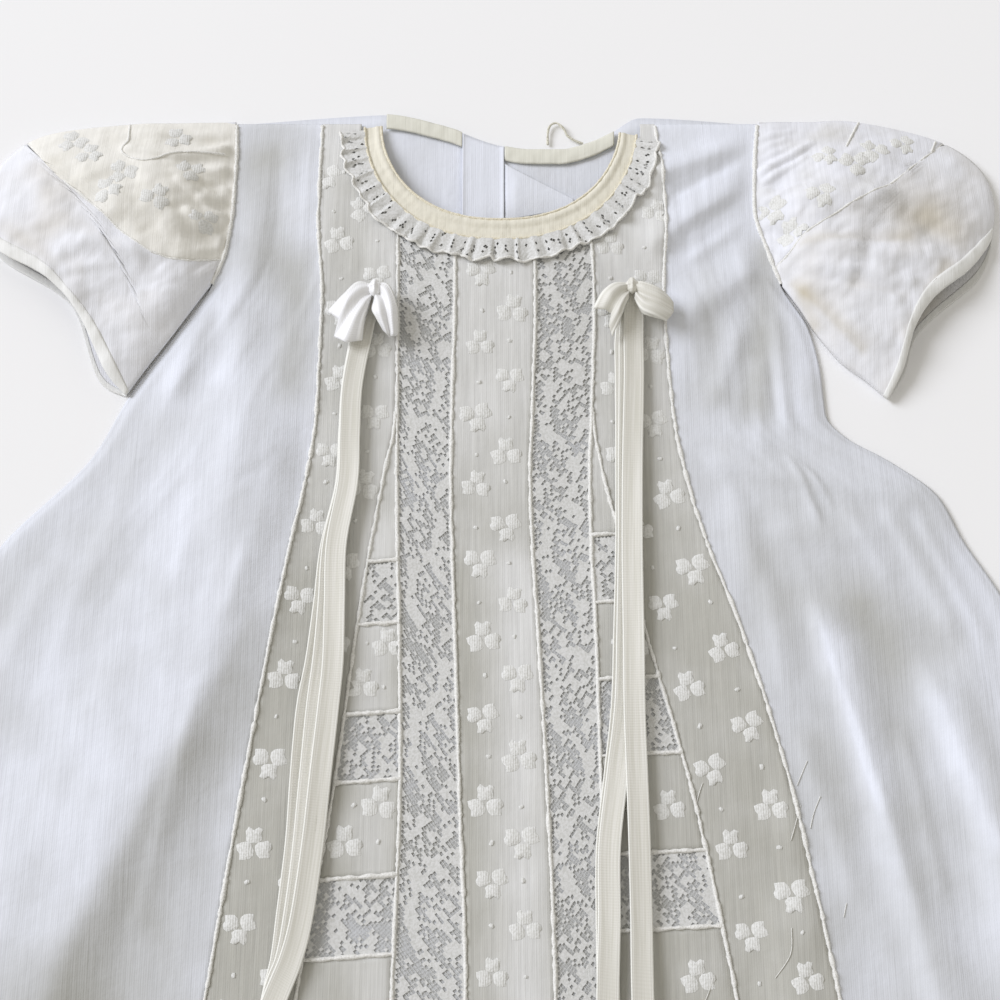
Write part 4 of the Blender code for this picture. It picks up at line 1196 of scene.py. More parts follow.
# How far down each row's first clover lies, in the strip, the bands and the ladders.
FIRST_CLOVER = {"centre": 72.5, "left": 27.0, "right": 29.5, "ladder": 150.0}
left, right = seam_line("lace_in_left"), seam_line("lace_in_right")
clovers, dots = clover_spots(left, right, FIRST_CLOVER["centre"], (0.32, 0.70), top=60)
embroider("centre_clovers", clover_motif, centre_cloth, clovers)
embroider("centre_dots", dot_motif, centre_cloth, dots)
for side, cloth in band_cloth.items():
    lines = (seam_line(f"strip_{side}"), band_inner(side))
    left, right = lines if side == "left" else lines[::-1]
    clovers, dots = clover_spots(left, right, FIRST_CLOVER[side], (0.26, 0.74))
    embroider(f"band_{side}_clovers", clover_motif, cloth, clovers)
    embroider(f"band_{side}_dots", dot_motif, cloth, dots)
    left, right = (seam_line(name) for name in ladder_seams(side))
    clovers, dots = [], []
    cuts = LADDER_CUTS[side]
    for k in range(0, len(cuts) - 1, 2):
        some, few = clover_spots(
            left, right, FIRST_CLOVER["ladder"], (0.30, 0.72), cuts[k], cuts[k + 1], 6.5
        )
        clovers += some
        dots += few
    embroider(f"ladder_{side}_clovers", clover_motif, ladder_cloth[side], clovers)
    embroider(f"ladder_{side}_dots", dot_motif, ladder_cloth[side], dots)


# The sleeves: short and puffed, of plain batiste with a set-in top of the clover cotton. They are
# gathered into the armholes and lie pressed a little flat, with folds from the underarm.
SLEEVES = {
    "left": {
        "top": [
            (-109.6, 0), (-132, 0.8), (-154, 1.5), (-188, 6.5), (-204, 18), (-212, 34), (-212, 50),
        ],
        "under": [(-116.6, 76), (-124.0, 88), (-131.9, 101), (-139.5, 113), (-146.8, 124.6)],
        "cuff_front": [
            (-212, 50), (-201, 62), (-183.1, 72.7), (-168.9, 87.5), (-159.4, 100.4), (-146.8, 124.6),
        ],
        "cuff_back": [
            (-212, 50), (-202, 64), (-179.4, 78.1), (-169.5, 89.3), (-159, 117), (-146.8, 124.6),
        ],
        "insert": [
            (0.0, 0.85), (0.27, 0.78), (0.46, 0.69), (0.57, 0.56), (0.62, 0.42), (0.645, 0.28), (0.655, 0.03),
        ],
        "puff": 13.0,
        "slump": 0.42,
        "folds": [
            (0.05, 0.92, 0.62, 0.62, 0.07, 3.2),
            (0.12, 0.70, 0.55, 0.40, 0.06, 2.2),
            (0.35, 0.86, 0.95, 0.78, 0.07, 2.6),
        ],
        "creases": [
            (-154, 17, -134, 21, 1.8, 2.2, 1.8), (-134, 21, -111, 14, 1.8, 2.6, 2.4),
            (-150, 8, -112, 7, 2.0, 3.0, 1.4), (-120, 30, -110, 33, 1.2, 1.4, 1.0),
            (-120, 36, -110, 40, 1.2, 1.4, 1.0), (-120, 43, -110, 47, 1.2, 1.4, 0.9),
            (-131, 32, -119, 41, 1.8, 2.2, 1.6), (-127, 46, -111, 58, 2.2, 2.6, 2.0),
            (-178, 68, -164, 60, 3, 5, 1.6), (-164, 60, -153, 66, 4, 5, 1.4),
            (-153, 66, -120, 66, 3, 5, 1.6), (-117, 71, -136, 89, 9, 7, 2.6),
            (-136, 89, -153, 113, 9, 7, 2.6), (-175, 74, -155, 71, 2, 3, 1.0),
            (-170, 30, -150, 50, 6, 6, 1.4), (-190, 34, -176, 52, 4, 5, 1.2),
        ],
    },
    "right": {
        "top": [
            (109.6, 0), (130, 0.2), (151, 0.4), (183, 9.0), (200, 22), (204.6, 38), (202.3, 54.5),
        ],
        "under": [
            (116.0, 76), (122.8, 87.5), (128.6, 98.5), (137.0, 110.5), (146.5, 118.3), (154.6, 126.1),
        ],
        "cuff_front": [
            (202.3, 54.5), (197.2, 60.8), (185.9, 72.7), (172.9, 83.1), (165.3, 96.4), (159.9, 114.4),
            (154.6, 126.1),
        ],
        "cuff_back": [
            (202.3, 54.5), (201, 63), (194.2, 74.5), (175.9, 90.2), (167.4, 100.4), (162.6, 114.4),
            (154.6, 126.1),
        ],
        "insert": [
            (0.0, 0.92), (0.15, 0.77), (0.24, 0.67), (0.38, 0.54), (0.46, 0.44), (0.52, 0.33), (0.60, 0.03),
        ],
        "puff": 12.0,
        "slump": 0.1,
        "folds": [
            (0.05, 0.55, 0.60, 0.36, 0.07, 2.6),
            (0.10, 0.80, 0.80, 0.62, 0.07, 3.2),
            (0.25, 0.95, 0.90, 0.84, 0.06, 2.4),
        ],
        "creases": [
            (109, 25, 132, 12, 1.4, 1.8, 2.2), (110, 30, 128, 20, 1.2, 1.4, 1.6),
            (110, 8, 124, 5, 1.0, 1.0, 1.2), (110, 13, 122, 9, 1.0, 1.0, 1.2),
            (110, 18, 121, 14, 1.0, 1.0, 1.1), (109, 40, 124, 34, 1.4, 1.4, 1.0),
            (122, 62, 180, 70, 4, 3, 2.0), (122, 72, 168, 80, 3, 3, 1.7),
            (123, 78, 161, 88, 3, 3, 1.5), (122, 82, 152, 106, 4, 5, 2.0),
            (166, 42, 180, 60, 8, 8, -2.4), (125, 46, 186, 40, 10, 6, 1.4),
            (150, 20, 172, 28, 3, 3, 1.2), (136, 30, 120, 48, 4, 3, 1.2),
        ],
    },
}
# Painted shade on the sleeves, in the columns of the folds with a share in place of the rise. A share below 0
# paints the cloth lighter, a painted highlight.
SLEEVE_SHADES = {
    "left": [
        (-190, 20, -178, 60, 9, 12, 0.35),
        (-178, 50, -150, 62, 5, 4, 0.22),
        (-160, 50, -128, 62, 4, 4, 0.22),
        (-152, 116, -148, 126, 8, 6, 0.30),
        (-176, 66, -160, 78, 4, 6, 0.20),
        (-204, 50, -176, 72, 4, 4, 0.25),
        (-168, 76, -130, 72, 7, 7, -0.20),
    ],
    "right": [
        (168, 20, 182, 34, 7, 7, 0.15),
        (158, 46, 186, 56, 7, 8, 0.30),
        (172, 40, 186, 60, 8, 8, 0.40),
        (182, 68, 163, 104, 3, 5, 0.40),
        (122, 62, 168, 60, 2, 4, 0.35),
        (119, 76, 146, 108, 1.6, 3.5, 0.40),
        (122, 80, 128, 97, 2.5, 3, 0.40),
        (130, 12, 148, 6, 6, 6, 0.30),
        (140, 80, 164, 86, 2, 4, 0.25),
        (132, 74, 160, 74, 6, 6, -0.15),
        (150, 92, 160, 118, 5, 5, -0.15),
    ],
}
SLEEVE_FOLD_COLUMNS = ("t1", "w1", "t2", "w2", "half_width", "rise")
SLEEVE_LENGTH, BINDING_WIDTH = 90.0, 4.2
GATHERS, GATHER_RISE, GATHER_REACH = 7, 1.3, 0.20
FOLD_HEIGHT = 2.6
CUFF_START = 1 - BINDING_WIDTH / SLEEVE_LENGTH
CUFF_REACH = {"left": 0.45, "right": 0.35}  # how far the front cuff sags towards the back one
SEAM_LAP = 0.6  # how far the sleeve laps over the edge of the front
FRONT_SHARE = 0.62  # how much of the way round a sleeve's sheet is its front


def patch(sleeve, t, w, cuff):
    """A point of the sleeve in plan: t from armhole to cuff, w from the top fold to the underarm."""
    t, w = np.broadcast_arrays(np.asarray(t, float), np.asarray(w, float))
    side = "left" if sleeve["top"][0][0] < 0 else "right"
    sign = -1 if side == "left" else 1
    start = sleeve["top"][0][1]
    hole_down = mix(start, ARMHOLE_FOOT, w)
    hole = np.stack([edge(side, hole_down) - sign * SEAM_LAP, hole_down], axis=-1)
    mouth = path_point(sleeve[cuff], w)
    top, under = path_point(sleeve["top"], t), path_point(sleeve["under"], t)
    first, last = (float(edge(side, down)) - sign * SEAM_LAP for down in (start, ARMHOLE_FOOT))
    corners = np.array([(first, start), (last, ARMHOLE_FOOT), sleeve["top"][-1], sleeve["under"][-1]], float)
    t, w = t[..., None], w[..., None]
    plan = (
        (1 - t) * hole + t * mouth + (1 - w) * top + w * under
        - (1 - t) * (1 - w) * corners[0] - (1 - t) * w * corners[1]
        - t * (1 - w) * corners[2] - t * w * corners[3]
    )
    return plan[..., 0], plan[..., 1]


def sleeve_height(sleeve, t, w):
    """Height of the sleeve's front above the surface: a puff, its gathers and its main folds."""
    puff = sleeve["puff"] * (0.10 + 0.90 * fade(t / 0.38)) * (1 - 0.34 * fade((t - 0.45) / 0.55))
    body = np.sin(math.pi * np.clip(w, 0.0, 1.0)) ** 0.75 * (1 - sleeve["slump"] * fade((w - 0.4) / 0.45))
    gathers = GATHER_RISE * np.sin(2 * math.pi * GATHERS * w) * np.exp(-((t / GATHER_REACH) ** 2))
    folds = 0.0
    for row in sleeve["folds"]:
        fold = dict(zip(SLEEVE_FOLD_COLUMNS, row))
        run = (fold["t2"] - fold["t1"], fold["w2"] - fold["w1"])
        across = ((w - fold["w1"]) * run[0] - (t - fold["t1"]) * run[1]) / math.hypot(*run)
        ends = fade((t - fold["t1"]) / 0.12 + 0.3) * fade((fold["t2"] - t) / 0.12 + 0.3)
        folds = folds + fold["rise"] * ends * np.exp(-((across / fold["half_width"]) ** 2))
    return FOLD_HEIGHT + body * (puff + folds * 0.7 + gathers * fade(t / 0.04))


def sleeve_top(sleeve, t, w):
    """The sleeve's upper face in mm, with its creases and small gathers, rounded at its two folds."""
    x, down = patch(sleeve, t, w, "cuff_front")
    z = sleeve_height(sleeve, t, w)
    round_over = np.sin(math.pi * np.clip(w, 0, 1)) ** 0.4
    small = 0.9 * rumple(w * 60, t * 60, 2.2, 14, 6.0) * np.exp(-((t / 0.22) ** 2)) * fade(t / 0.05)
    small = small + 0.6 * rumple(w * 60, t * 60, 3.0, 9, 8.0) * np.exp(-(((1 - t) / 0.14) ** 2))
    crumple = 1.5 * rumple(x, down, 10, 8, 2.5) + 0.6 * rumple(x + down, x - down, 5, 7, 9.5)
    creases = fold_rise(sleeve["creases"], x, down)
    z = np.maximum(z + (small + crumple + creases) * round_over, 0.9)
    return x, down, mix(front_top(x, down) + 0.15, z, fade(t / 0.07))


def sleeve_ring(sleeve, t, s, first):
    """A point round the sleeve: s = 0 at w = first, over the front, round the underarm, back to 1."""
    w_front = mix(first, 1.0, np.clip(s / FRONT_SHARE, 0, 1))
    front = sleeve_top(sleeve, t, w_front)
    w_back = 1 - np.clip((s - FRONT_SHARE) / (1 - FRONT_SHARE), 0, 1)
    back_x, back_down = patch(sleeve, t, w_back, "cuff_back")
    back_z = CLOTH + (FOLD_HEIGHT - CLOTH) * (1 - fade(w_back / 0.03))
    over = s <= FRONT_SHARE
    return tuple(np.where(over, a, b) for a, b in zip(front, (back_x, back_down, back_z)))


def insert_share(sleeve, t):
    """How far across the set-in top reaches at t."""
    tip = sleeve["insert"][-1][0]
    return np.where(t < tip, curve_value(sleeve["insert"], np.minimum(t, tip)), 0.0)


# Painted shade of the sleeves: random spots, and the table's.
def sleeve_painted_shade(x, down):
    spots = 0.25 * rumple(x, down, 14, 12, 5.5)
    side = "left" if np.mean(x) < 0 else "right"
    return mix(-0.05, 0.08, side == "right") + spots + fold_rise(SLEEVE_SHADES[side], x, down)


# The puffs are the same batiste, with a warmer shade colour: painted shade, for the inside showing
# through.
sleeve_batiste = plain_weave("washed_batiste_puff", "#E9EAEE", "#C2B9A4")

# The set-in tops are the same sheer cotton, the viewer's left one warmer, each with its shade colour
# mixed in as painted shade.
sleeve_lawn = {
    side: plain_weave(name, light, shade, slub=0.05, sheen=0.05, crumple=0.0005, mottle=0.012)
    for side, name, light, shade in (
        ("left", "yellowed_cotton_lawn", "#ECEAE3", "#CBC6B6"),
        ("right", "white_cotton_lawn", "#E6E7EC", "#C4C1B6"),
    )
}


insert_cloth = {}
for side, sleeve in SLEEVES.items():
    reach = CUFF_START + 0.01

    def lower(u, v):
        t = v * reach
        return sleeve_ring(sleeve, t, u, insert_share(sleeve, t))

    def set_in(u, v):
        t = v * sleeve["insert"][-1][0]
        return sleeve_top(sleeve, t, u * insert_share(sleeve, t))

    piece = cloth_sheet(f"sleeve_{side}_batiste", 120, 90, lower, sleeve_batiste, hollow=sleeve_painted_shade)
    if side == "left":
        piece.data.flip_normals()
    sew(piece, "batiste", [f"sleeve_{side}"], (0.23, 0.10), 0.0165, held="gathered")
    piece = cloth_sheet(f"sleeve_insert_{side}_lawn", 60, 60, set_in, sleeve_lawn[side], hollow=sleeve_painted_shade)
    if side == "left":
        piece.data.flip_normals()
    insert_cloth[side] = piece
    sew(piece, "clover_batiste", [f"sleeve_insert_{side}"], (0.11, 0.10), 0.0052, held="gathered")

    # The cuff is bound with a narrow bias strip of white cotton, folded over the raw edge.
    def cuff(u, v):
        t = mix(CUFF_START, 1.0, v)
        x, down, z = sleeve_ring(sleeve, t, u, 0.0)
        over = u <= FRONT_SHARE
        far_x, far_down = patch(sleeve, np.ones_like(t), np.clip(u / FRONT_SHARE, 0, 1), "cuff_back")
        reach = np.where(over, CUFF_REACH[side] * v, 0.0)
        swell = 0.35 * np.sin(math.pi * v)
        z = np.where(over, (z + swell) * (1 - 0.45 * reach), np.maximum(z, 0.5))
        return mix(x, far_x, reach), mix(down, far_down, reach), z

    binding = plain_weave(f"white_bias_cotton_{side}", "#E9E9E6", "#DEDDD6", mottle=0.02)
    piece = cloth_sheet(f"cuff_{side}_bias", 110, 6, cuff, binding, 0.5)
    if side == "left":
        piece.data.flip_normals()
    sew(piece, "cuff_binding", [f"cuff_{side}"], (0.17, 0.0045), held="gathered")


# Whipped seams of the sleeves: round the set-in top, across it in two places, and the armholes.
SLEEVE_SEAMS = {
    "left": [[
        (-153.7, 2.5), (-152.8, 13.5), (-155, 18.3), (-151, 22.3), (-143.5, 24.5), (-135, 20.5),
        (-126, 18.0), (-113, 17.0),
    ]],
    "right": [[(151.3, 1.5), (144.3, 15.9)], [(182.8, 10.5), (178.1, 20.7), (172.1, 27.8)]],
}


def drape_line(surface_piece, points):
    """Lays a line of (x, down) points on a piece, by a ray straight down."""
    laid = []
    depsgraph = bpy.context.evaluated_depsgraph_get()
    shape = surface_piece.evaluated_get(depsgraph)
    for x, down in points:
        hit, place, _, _ = shape.ray_cast(Vector((x * MM, (MIDDLE - down) * MM, 0.2)), Vector((0, 0, -1)))
        if hit:
            laid.append((x, down, place.z / MM + 0.15))
    return laid


sleeve_lines, armhole_lines = [], []
for side, sleeve in SLEEVES.items():
    t = np.linspace(0.01, sleeve["insert"][-1][0], 60)
    sleeve_lines.append(np.stack(sleeve_top(sleeve, t, insert_share(sleeve, t)), axis=1) + (0, 0, 0.15))
    w = np.linspace(0.02, 0.99, 60)
    x, down, z = sleeve_top(sleeve, np.full(60, 0.004), w)
    x = x - 0.5 * np.sign(x)
    armhole_lines.append(np.stack([x, down, np.maximum(z, front_top(x, down)) + 0.2], axis=1).tolist())
    for row in SLEEVE_SEAMS[side]:
        sleeve_lines.append(drape_line(insert_cloth[side], path_point(row, np.linspace(0, 1, 24)).tolist()))
cords("sleeve_seams", [np.array(line).tolist() for line in sleeve_lines], white_thread, radius=0.5)
cords("armhole_seams", armhole_lines, white_thread, radius=0.85, unevenness=0.3, lump=2.4)

SLEEVE_CLOVERS = {
    "left": [(-126, 27), (-138, 43), (-153, 30), (-168, 20), (-119, 50), (-176, 12), (-133, 10), (-158, 40)],
    "right": [
        (131, 41.9), (112.3, 44.2), (119.9, 55.8), (135.2, 20.7), (146.6, 25.4), (155.4, 18.3), (168.3, 13.5),
    ],
}
for side, spots in SLEEVE_CLOVERS.items():
    rows = [(x, down, draw.uniform(0, 6.3), draw.uniform(0.8, 1.0)) for x, down in spots]
    embroider(f"sleeve_{side}_clovers", clover_motif, insert_cloth[side], rows)

for motif in (clover_motif, dot_motif):
    bpy.data.objects.remove(motif, do_unlink=True)


# The neck binding: a bias strip of cotton, yellowed, folded over the front of the neck with a
# firm rolled edge inside and a stitched edge outside.
NECK_START, NECK_END = 0.15, math.pi - 0.08


def neck_band(u, v):
    angle = mix(NECK_END, NECK_START, u)
    inner, outer = neck_ring(angle, NECK_IN), neck_ring(angle, NECK_OUT)
    x, down = mix(inner[0], outer[0], v), mix(inner[1], outer[1], v)
    puckers = 0.22 * rumple(angle * 60, v, 1.6, 1.0, 3.3)
    bulge = 0.9 * np.sin(math.pi * np.minimum(v / 0.45, 1)) * (v < 0.45) + 0.35 * np.sin(math.pi * v)
    return x, down, front_height(*outer) + WALL * 0.7 + bulge + puckers


piece = cloth_sheet("neck_band_bias", 200, 14, neck_band, aged_binding, 0.6)
sew(piece, "neck_binding", ["neck_binding_front"], (0.16, 0.0105))

angles = np.linspace(NECK_END, NECK_START, 160)
inner, outer = neck_ring(angles, NECK_IN, 0.4), neck_ring(angles, NECK_OUT, -0.6)
height = front_height(*neck_ring(angles, NECK_OUT)) + WALL
# The binding's own thread, yellowed like its cotton but brighter.
aged_thread = thread("yellowed_cotton_thread", "#EFE9D6", "#D8CFB4")
cords("neck_edges", [
    list(zip(inner[0].tolist(), inner[1].tolist(), (height + 0.1).tolist())),
    list(zip(outer[0].tolist(), outer[1].tolist(), (height + 0.3).tolist())),
], aged_thread, radius=0.6, unevenness=0.2)


# The frill: narrow cotton lace, gathered by hand round the outside of the neck binding. It has
# been crushed flat, so its small pleats lean and differ.
FRILL_DEPTH, FRILL_WAVES, FRILL_RISE = 9.0, 26, 1.7
FRILL_NET, FRILL_CUT = (300.0, 10.0), (0.20, 0.010)  # its net in mm, and flat in metres
FRILL_THREAD, FRILL_PINHOLE = 0.38, 0.015  # stouter thread and closer work than the insertions
SCALLOP = 7.0


def frill(u, v):
    angle = mix(NECK_END - 0.03, NECK_START + 0.03, u)
    phase = 2 * math.pi * FRILL_WAVES * u
    sway = 1.1 * rumple(u * 100, v, 2.2, 3.0, 4.4)
    x, down = neck_ring(angle + 0.012 * sway, NECK_OUT, -0.6 + (FRILL_DEPTH + 1) * v * (0.96 + 0.18 * sway))
    wave = FRILL_RISE * (0.3 + 0.7 * v) * (1 - np.cos(phase + 2.2 * sway)) / 2
    wave = wave + 0.5 * v * rumple(u * 300, v * 3, 2.0, 1.0, 8.8)
    return x, down, front_height(x, down) + WALL + LIE + wave


def frill_worked(across, along):
    """Solid at the heading and at the scalloped edge, and in a small flower to each scallop."""
    scallop = 1.1 * abs(math.sin(math.pi * across / SCALLOP))
    if along < 3.2 or along > 7.4 - scallop:
        return True
    return math.hypot((across % SCALLOP) - SCALLOP / 2, along - 4.8) < 3.2


piece = lace_piece("neck_frill_net", [{
    "cut": FRILL_NET, "where": frill, "solid": frill_worked, "seed": 9,
    "strand": FRILL_THREAD, "pinhole": FRILL_PINHOLE,
}])
sew(piece, "lace", ["neck_frill"], FRILL_CUT, held="gathered")

# The frill's free edge is a whipped cord, the whitest line of the neck.
x, down, z = frill(np.linspace(0.004, 0.996, 340), np.ones(340))
cords("neck_frill_edge", [list(zip(x.tolist(), down.tolist(), (z + 0.15).tolist()))], white_thread,
      radius=0.55, unevenness=0.35, nodes=["neck_frill"])


# The ribbons: narrow ivory ribbon with a firm selvedge along each side, painted brighter as a
# highlight, three tails under each bow, lying loose on the front and over each other.
RIBBON_WIDTH, RIBBON_SLANT = 8.0, 5.0  # the slant is how much longer one side of a cut end is
RIBBONS = {
    "ribbon_left_1": (0, [
        (-51.5, 84), (-54.0, 96), (-57.6, 121), (-58.2, 142), (-58.8, 163), (-63.6, 188),
        (-65.4, 211), (-67.6, 233), (-70.2, 251), (-71.6, 277), (-72.4, 302), (-74.6, 327),
        (-76.0, 342), (-78.8, 357), (-83.0, 390), (-86.0, 424),
    ]),
    "ribbon_left_2": (1, [
        (-50.6, 84), (-53.4, 96), (-57.2, 121), (-57.8, 142), (-58.2, 163), (-62.6, 188),
        (-63.6, 211), (-64.8, 233), (-66.6, 251), (-68.2, 277), (-69.6, 302), (-71.8, 327),
        (-74.0, 342), (-78.4, 357), (-84.0, 400),
    ]),
    "ribbon_left_3": (2, [
        (-49.8, 84), (-52.8, 96), (-56.8, 121), (-57.4, 142), (-57.6, 163), (-61.2, 188),
        (-61.2, 211), (-61.0, 233), (-62.2, 251), (-64.2, 277), (-66.2, 302), (-69.0, 327),
        (-72.4, 342), (-78.0, 357), (-90.0, 392),
    ]),
    "ribbon_right_1": (0, [
        (53.4, 82), (51.0, 101), (50.8, 117), (50.2, 150), (49.3, 188), (47.7, 224), (46.2, 251),
        (43.0, 277), (39.8, 302), (39.2, 327), (39.2, 357), (40.0, 400),
    ]),
    "ribbon_right_2": (1, [
        (54.2, 82), (52.6, 101), (52.2, 117), (51.2, 150), (50.2, 188), (48.8, 224), (47.4, 251),
        (43.9, 277), (40.6, 302), (40.0, 327), (38.8, 357), (37.4, 412),
    ]),
    "ribbon_right_3": (2, [
        (55.0, 82), (54.4, 101), (54.2, 117), (52.8, 150), (51.6, 188), (51.2, 224), (50.8, 251),
        (51.1, 277), (51.3, 302), (51.3, 327), (51.0, 357), (51.5, 430),
    ]),
}


def ribbon_cloth(name, light, shade, selvedge, roughness, sheen):
    """Narrow woven ribbon: smooth, with fine ribs across it and a firm selvedge at each side, painted
    brighter: partly its firmer weave, partly a painted highlight.

    Its UV map runs 0 to 1 across and in millimetres along. Ribs are drawn 1 mm apart.
    """
    material = bpy.data.materials.new(name)
    material.use_nodes = True
    tree = material.node_tree
    shader = tree.nodes["Principled BSDF"]
    place = add_node(tree, "ShaderNodeUVMap", uv_map="weave").outputs[0]
    parts = add_node(tree, "ShaderNodeSeparateXYZ", {0: place})
    centred = add_node(tree, "ShaderNodeMath", {0: parts.outputs[0], 1: 0.5}, operation="SUBTRACT")
    away = add_node(tree, "ShaderNodeMath", {0: centred.outputs[0]}, operation="ABSOLUTE")
    at_edge = add_node(
        tree, "ShaderNodeMapRange", {"Value": away.outputs[0], "From Min": 0.40, "From Max": 0.46}
    )
    stretched = add_node(tree, "ShaderNodeMapping", {"Vector": place, "Scale": (14.0, 0.03, 1.0)})
    streaks = add_node(
        tree, "ShaderNodeTexNoise", {"Vector": stretched.outputs[0], "Scale": 1.0, "Detail": 2.0}
    )
    share = add_node(
        tree, "ShaderNodeMapRange", {"Value": streaks.outputs["Fac"], "From Min": 0.35, "From Max": 0.65}
    )
    body = add_node(
        tree, "ShaderNodeMix", {0: share.outputs[0], 6: colour(light), 7: colour(shade)}, data_type="RGBA"
    )
    whole = add_node(
        tree, "ShaderNodeMix", {0: at_edge.outputs[0], 6: body.outputs[2], 7: colour(selvedge)},
        data_type="RGBA",
    )
    ribs = add_node(
        tree, "ShaderNodeTexWave", {"Vector": place, "Scale": BANDS, "Distortion": 0.3}, bands_direction="Y"
    )
    fine = add_node(
        tree, "ShaderNodeBump", {"Height": ribs.outputs["Fac"], "Distance": 0.00005, "Strength": 1.0}
    )
    firm = add_node(
        tree, "ShaderNodeBump",
        {"Height": at_edge.outputs[0], "Distance": 0.0002, "Strength": 1.0, "Normal": fine.outputs[0]},
    )
    tree.links.new(whole.outputs[2], shader.inputs["Base Color"])
    tree.links.new(firm.outputs[0], shader.inputs["Normal"])
    shader.inputs["Roughness"].default_value = roughness
    shader.inputs["Sheen Weight"].default_value = sheen
    return material


# Ivory taffeta, woven: nearly matt, with a firm edge painted brighter, partly a painted highlight.
ivory_ribbon = ribbon_cloth("ivory_taffeta_ribbon", "#E4E2DA", "#D6D4C9", "#F1F0E8", 0.5, 0.1)


def add_weave_map(piece, columns, rows, length):
    """A UV map on a grid piece: 0 to 1 across it, and millimetres along it."""
    layer = piece.data.uv_layers.new(name="weave")
    across = columns + 1
    for loop in piece.data.loops:
        i, j = loop.vertex_index % across, loop.vertex_index // across
        layer.data[loop.index].uv = (i / columns, (1 - j / rows) * length)


def ribbon(name, layer, points):
    long = float(np.linalg.norm(np.diff(np.array(points), axis=0), axis=1).sum())

    def where(u, v):
        centre = path_point(points, v)
        run = path_point(points, np.minimum(v + 0.01, 1)) - path_point(points, np.maximum(v - 0.01, 0))
        size = np.linalg.norm(run, axis=-1)
        across = (u - 0.5) * RIBBON_WIDTH
        x = centre[..., 0] + across * run[..., 1] / size
        down = centre[..., 1] - across * run[..., 0] / size + RIBBON_SLANT * (u - 0.5) * v**8
        height = np.maximum.reduce([front_height(x + dx, down) for dx in (-4, 0, 4)])
        lean = 0.9 * (u - 0.5) * np.sin(v * 9 + 2.3 * layer)
        cupped = 0.5 * (2 * u - 1) ** 2 + 0.3 * np.sin(v * 40 + layer)
        return x, down, height + WALL + LIE + 0.4 + layer * (WALL + GAP) + lean + cupped

    piece = cloth_sheet(f"{name}_ivory", 6, 130, where, ivory_ribbon, 0.25)
    add_weave_map(piece, 6, 130, long)
    side = "left" if "left" in name else "right"
    sew(piece, "ribbon", [name], (RIBBON_WIDTH * MM, long * MM), rests_on=(f"clover_band_{side}_lawn",))


for name, (layer, points) in RIBBONS.items():
    # A tail that lies lowest shows as a shadowed edge beside the others.
    ribbon(name, layer, points)


# The bows: each is two drooping loops of ribbon, creased where they turn, held by a knot. The
# viewer's left one is bright white satin, and the right one is the thinner ivory ribbon.
# White satin, woven: smoother than the ivory, with a soft gloss.
white_satin = ribbon_cloth("white_satin_ribbon", "#F4F4F4", "#EBEBEC", "#F7F7F5", 0.38, 0.2)
# Each loop as rows of (x, down) from the knot outwards, across from one side to the other. It is
# creased along its length, and its under half comes back below it.
BOW_LOOPS = {
    "bow_loop_left_1": [
        [(-48.8, 80.5), (-49.0, 82.0), (-49.4, 83.6), (-49.8, 85.4), (-50.4, 87.2)],
        [(-55.5, 79.6), (-54.8, 83.6), (-54.0, 87.0), (-52.8, 90.0), (-51.2, 91.4)],
        [(-61.3, 85.4), (-59.8, 90.0), (-58.6, 94.0), (-56.4, 97.0), (-52.4, 97.0)],
        [(-67.2, 91.2), (-62.8, 95.4), (-64.4, 102.2), (-59.6, 105.6), (-53.2, 103.8)],
    ],
    "bow_loop_left_2": [
        [(-48.0, 79.6), (-48.0, 81.0), (-48.2, 82.8), (-48.6, 84.8), (-49.0, 86.6)],
        [(-43.2, 81.2), (-44.2, 84.2), (-45.4, 87.2), (-47.0, 90.0), (-49.6, 92.0)],
        [(-39.8, 90.4), (-42.0, 91.8), (-44.0, 93.2), (-46.0, 94.8), (-48.0, 95.4)],
        [(-39.4, 101.0), (-41.0, 102.2), (-42.4, 102.0), (-43.6, 101.6), (-45.2, 99.6)],
    ],
    "bow_loop_right_1": [
        [(52.8, 79.4), (52.8, 80.8), (52.8, 82.4), (52.8, 84.0), (52.8, 85.8)],
        [(47.0, 80.0), (48.4, 82.8), (49.6, 85.4), (50.4, 88.0), (51.0, 90.2)],
        [(42.0, 84.0), (45.0, 86.8), (47.4, 89.4), (48.0, 93.0), (48.9, 96.0)],
        [(38.6, 89.6), (43.0, 91.0), (45.5, 92.2), (44.6, 98.2), (45.9, 102.2)],
    ],
    "bow_loop_right_2": [
        [(54.8, 79.4), (55.0, 80.8), (55.2, 82.6), (55.2, 84.4), (55.0, 86.2)],
        [(58.0, 79.8), (58.6, 83.0), (58.8, 86.2), (58.4, 89.4), (57.2, 92.0)],
        [(64.0, 82.4), (64.4, 86.0), (64.4, 89.0), (63.6, 92.2), (62.0, 94.6)],
        [(68.8, 85.6), (69.8, 88.4), (70.0, 91.4), (68.6, 94.2), (66.8, 95.6)],
    ],
}
LOOP_HEIGHTS = (11.4, 13.4, 13.6, 11.0)  # of its rows, in the middle of its height
LOOP_CREASES = (-0.7, 1.0, -0.8, 0.9, -0.9)  # of its columns
LOOP_UNDER = 3.2  # how far the under half lies below the upper one


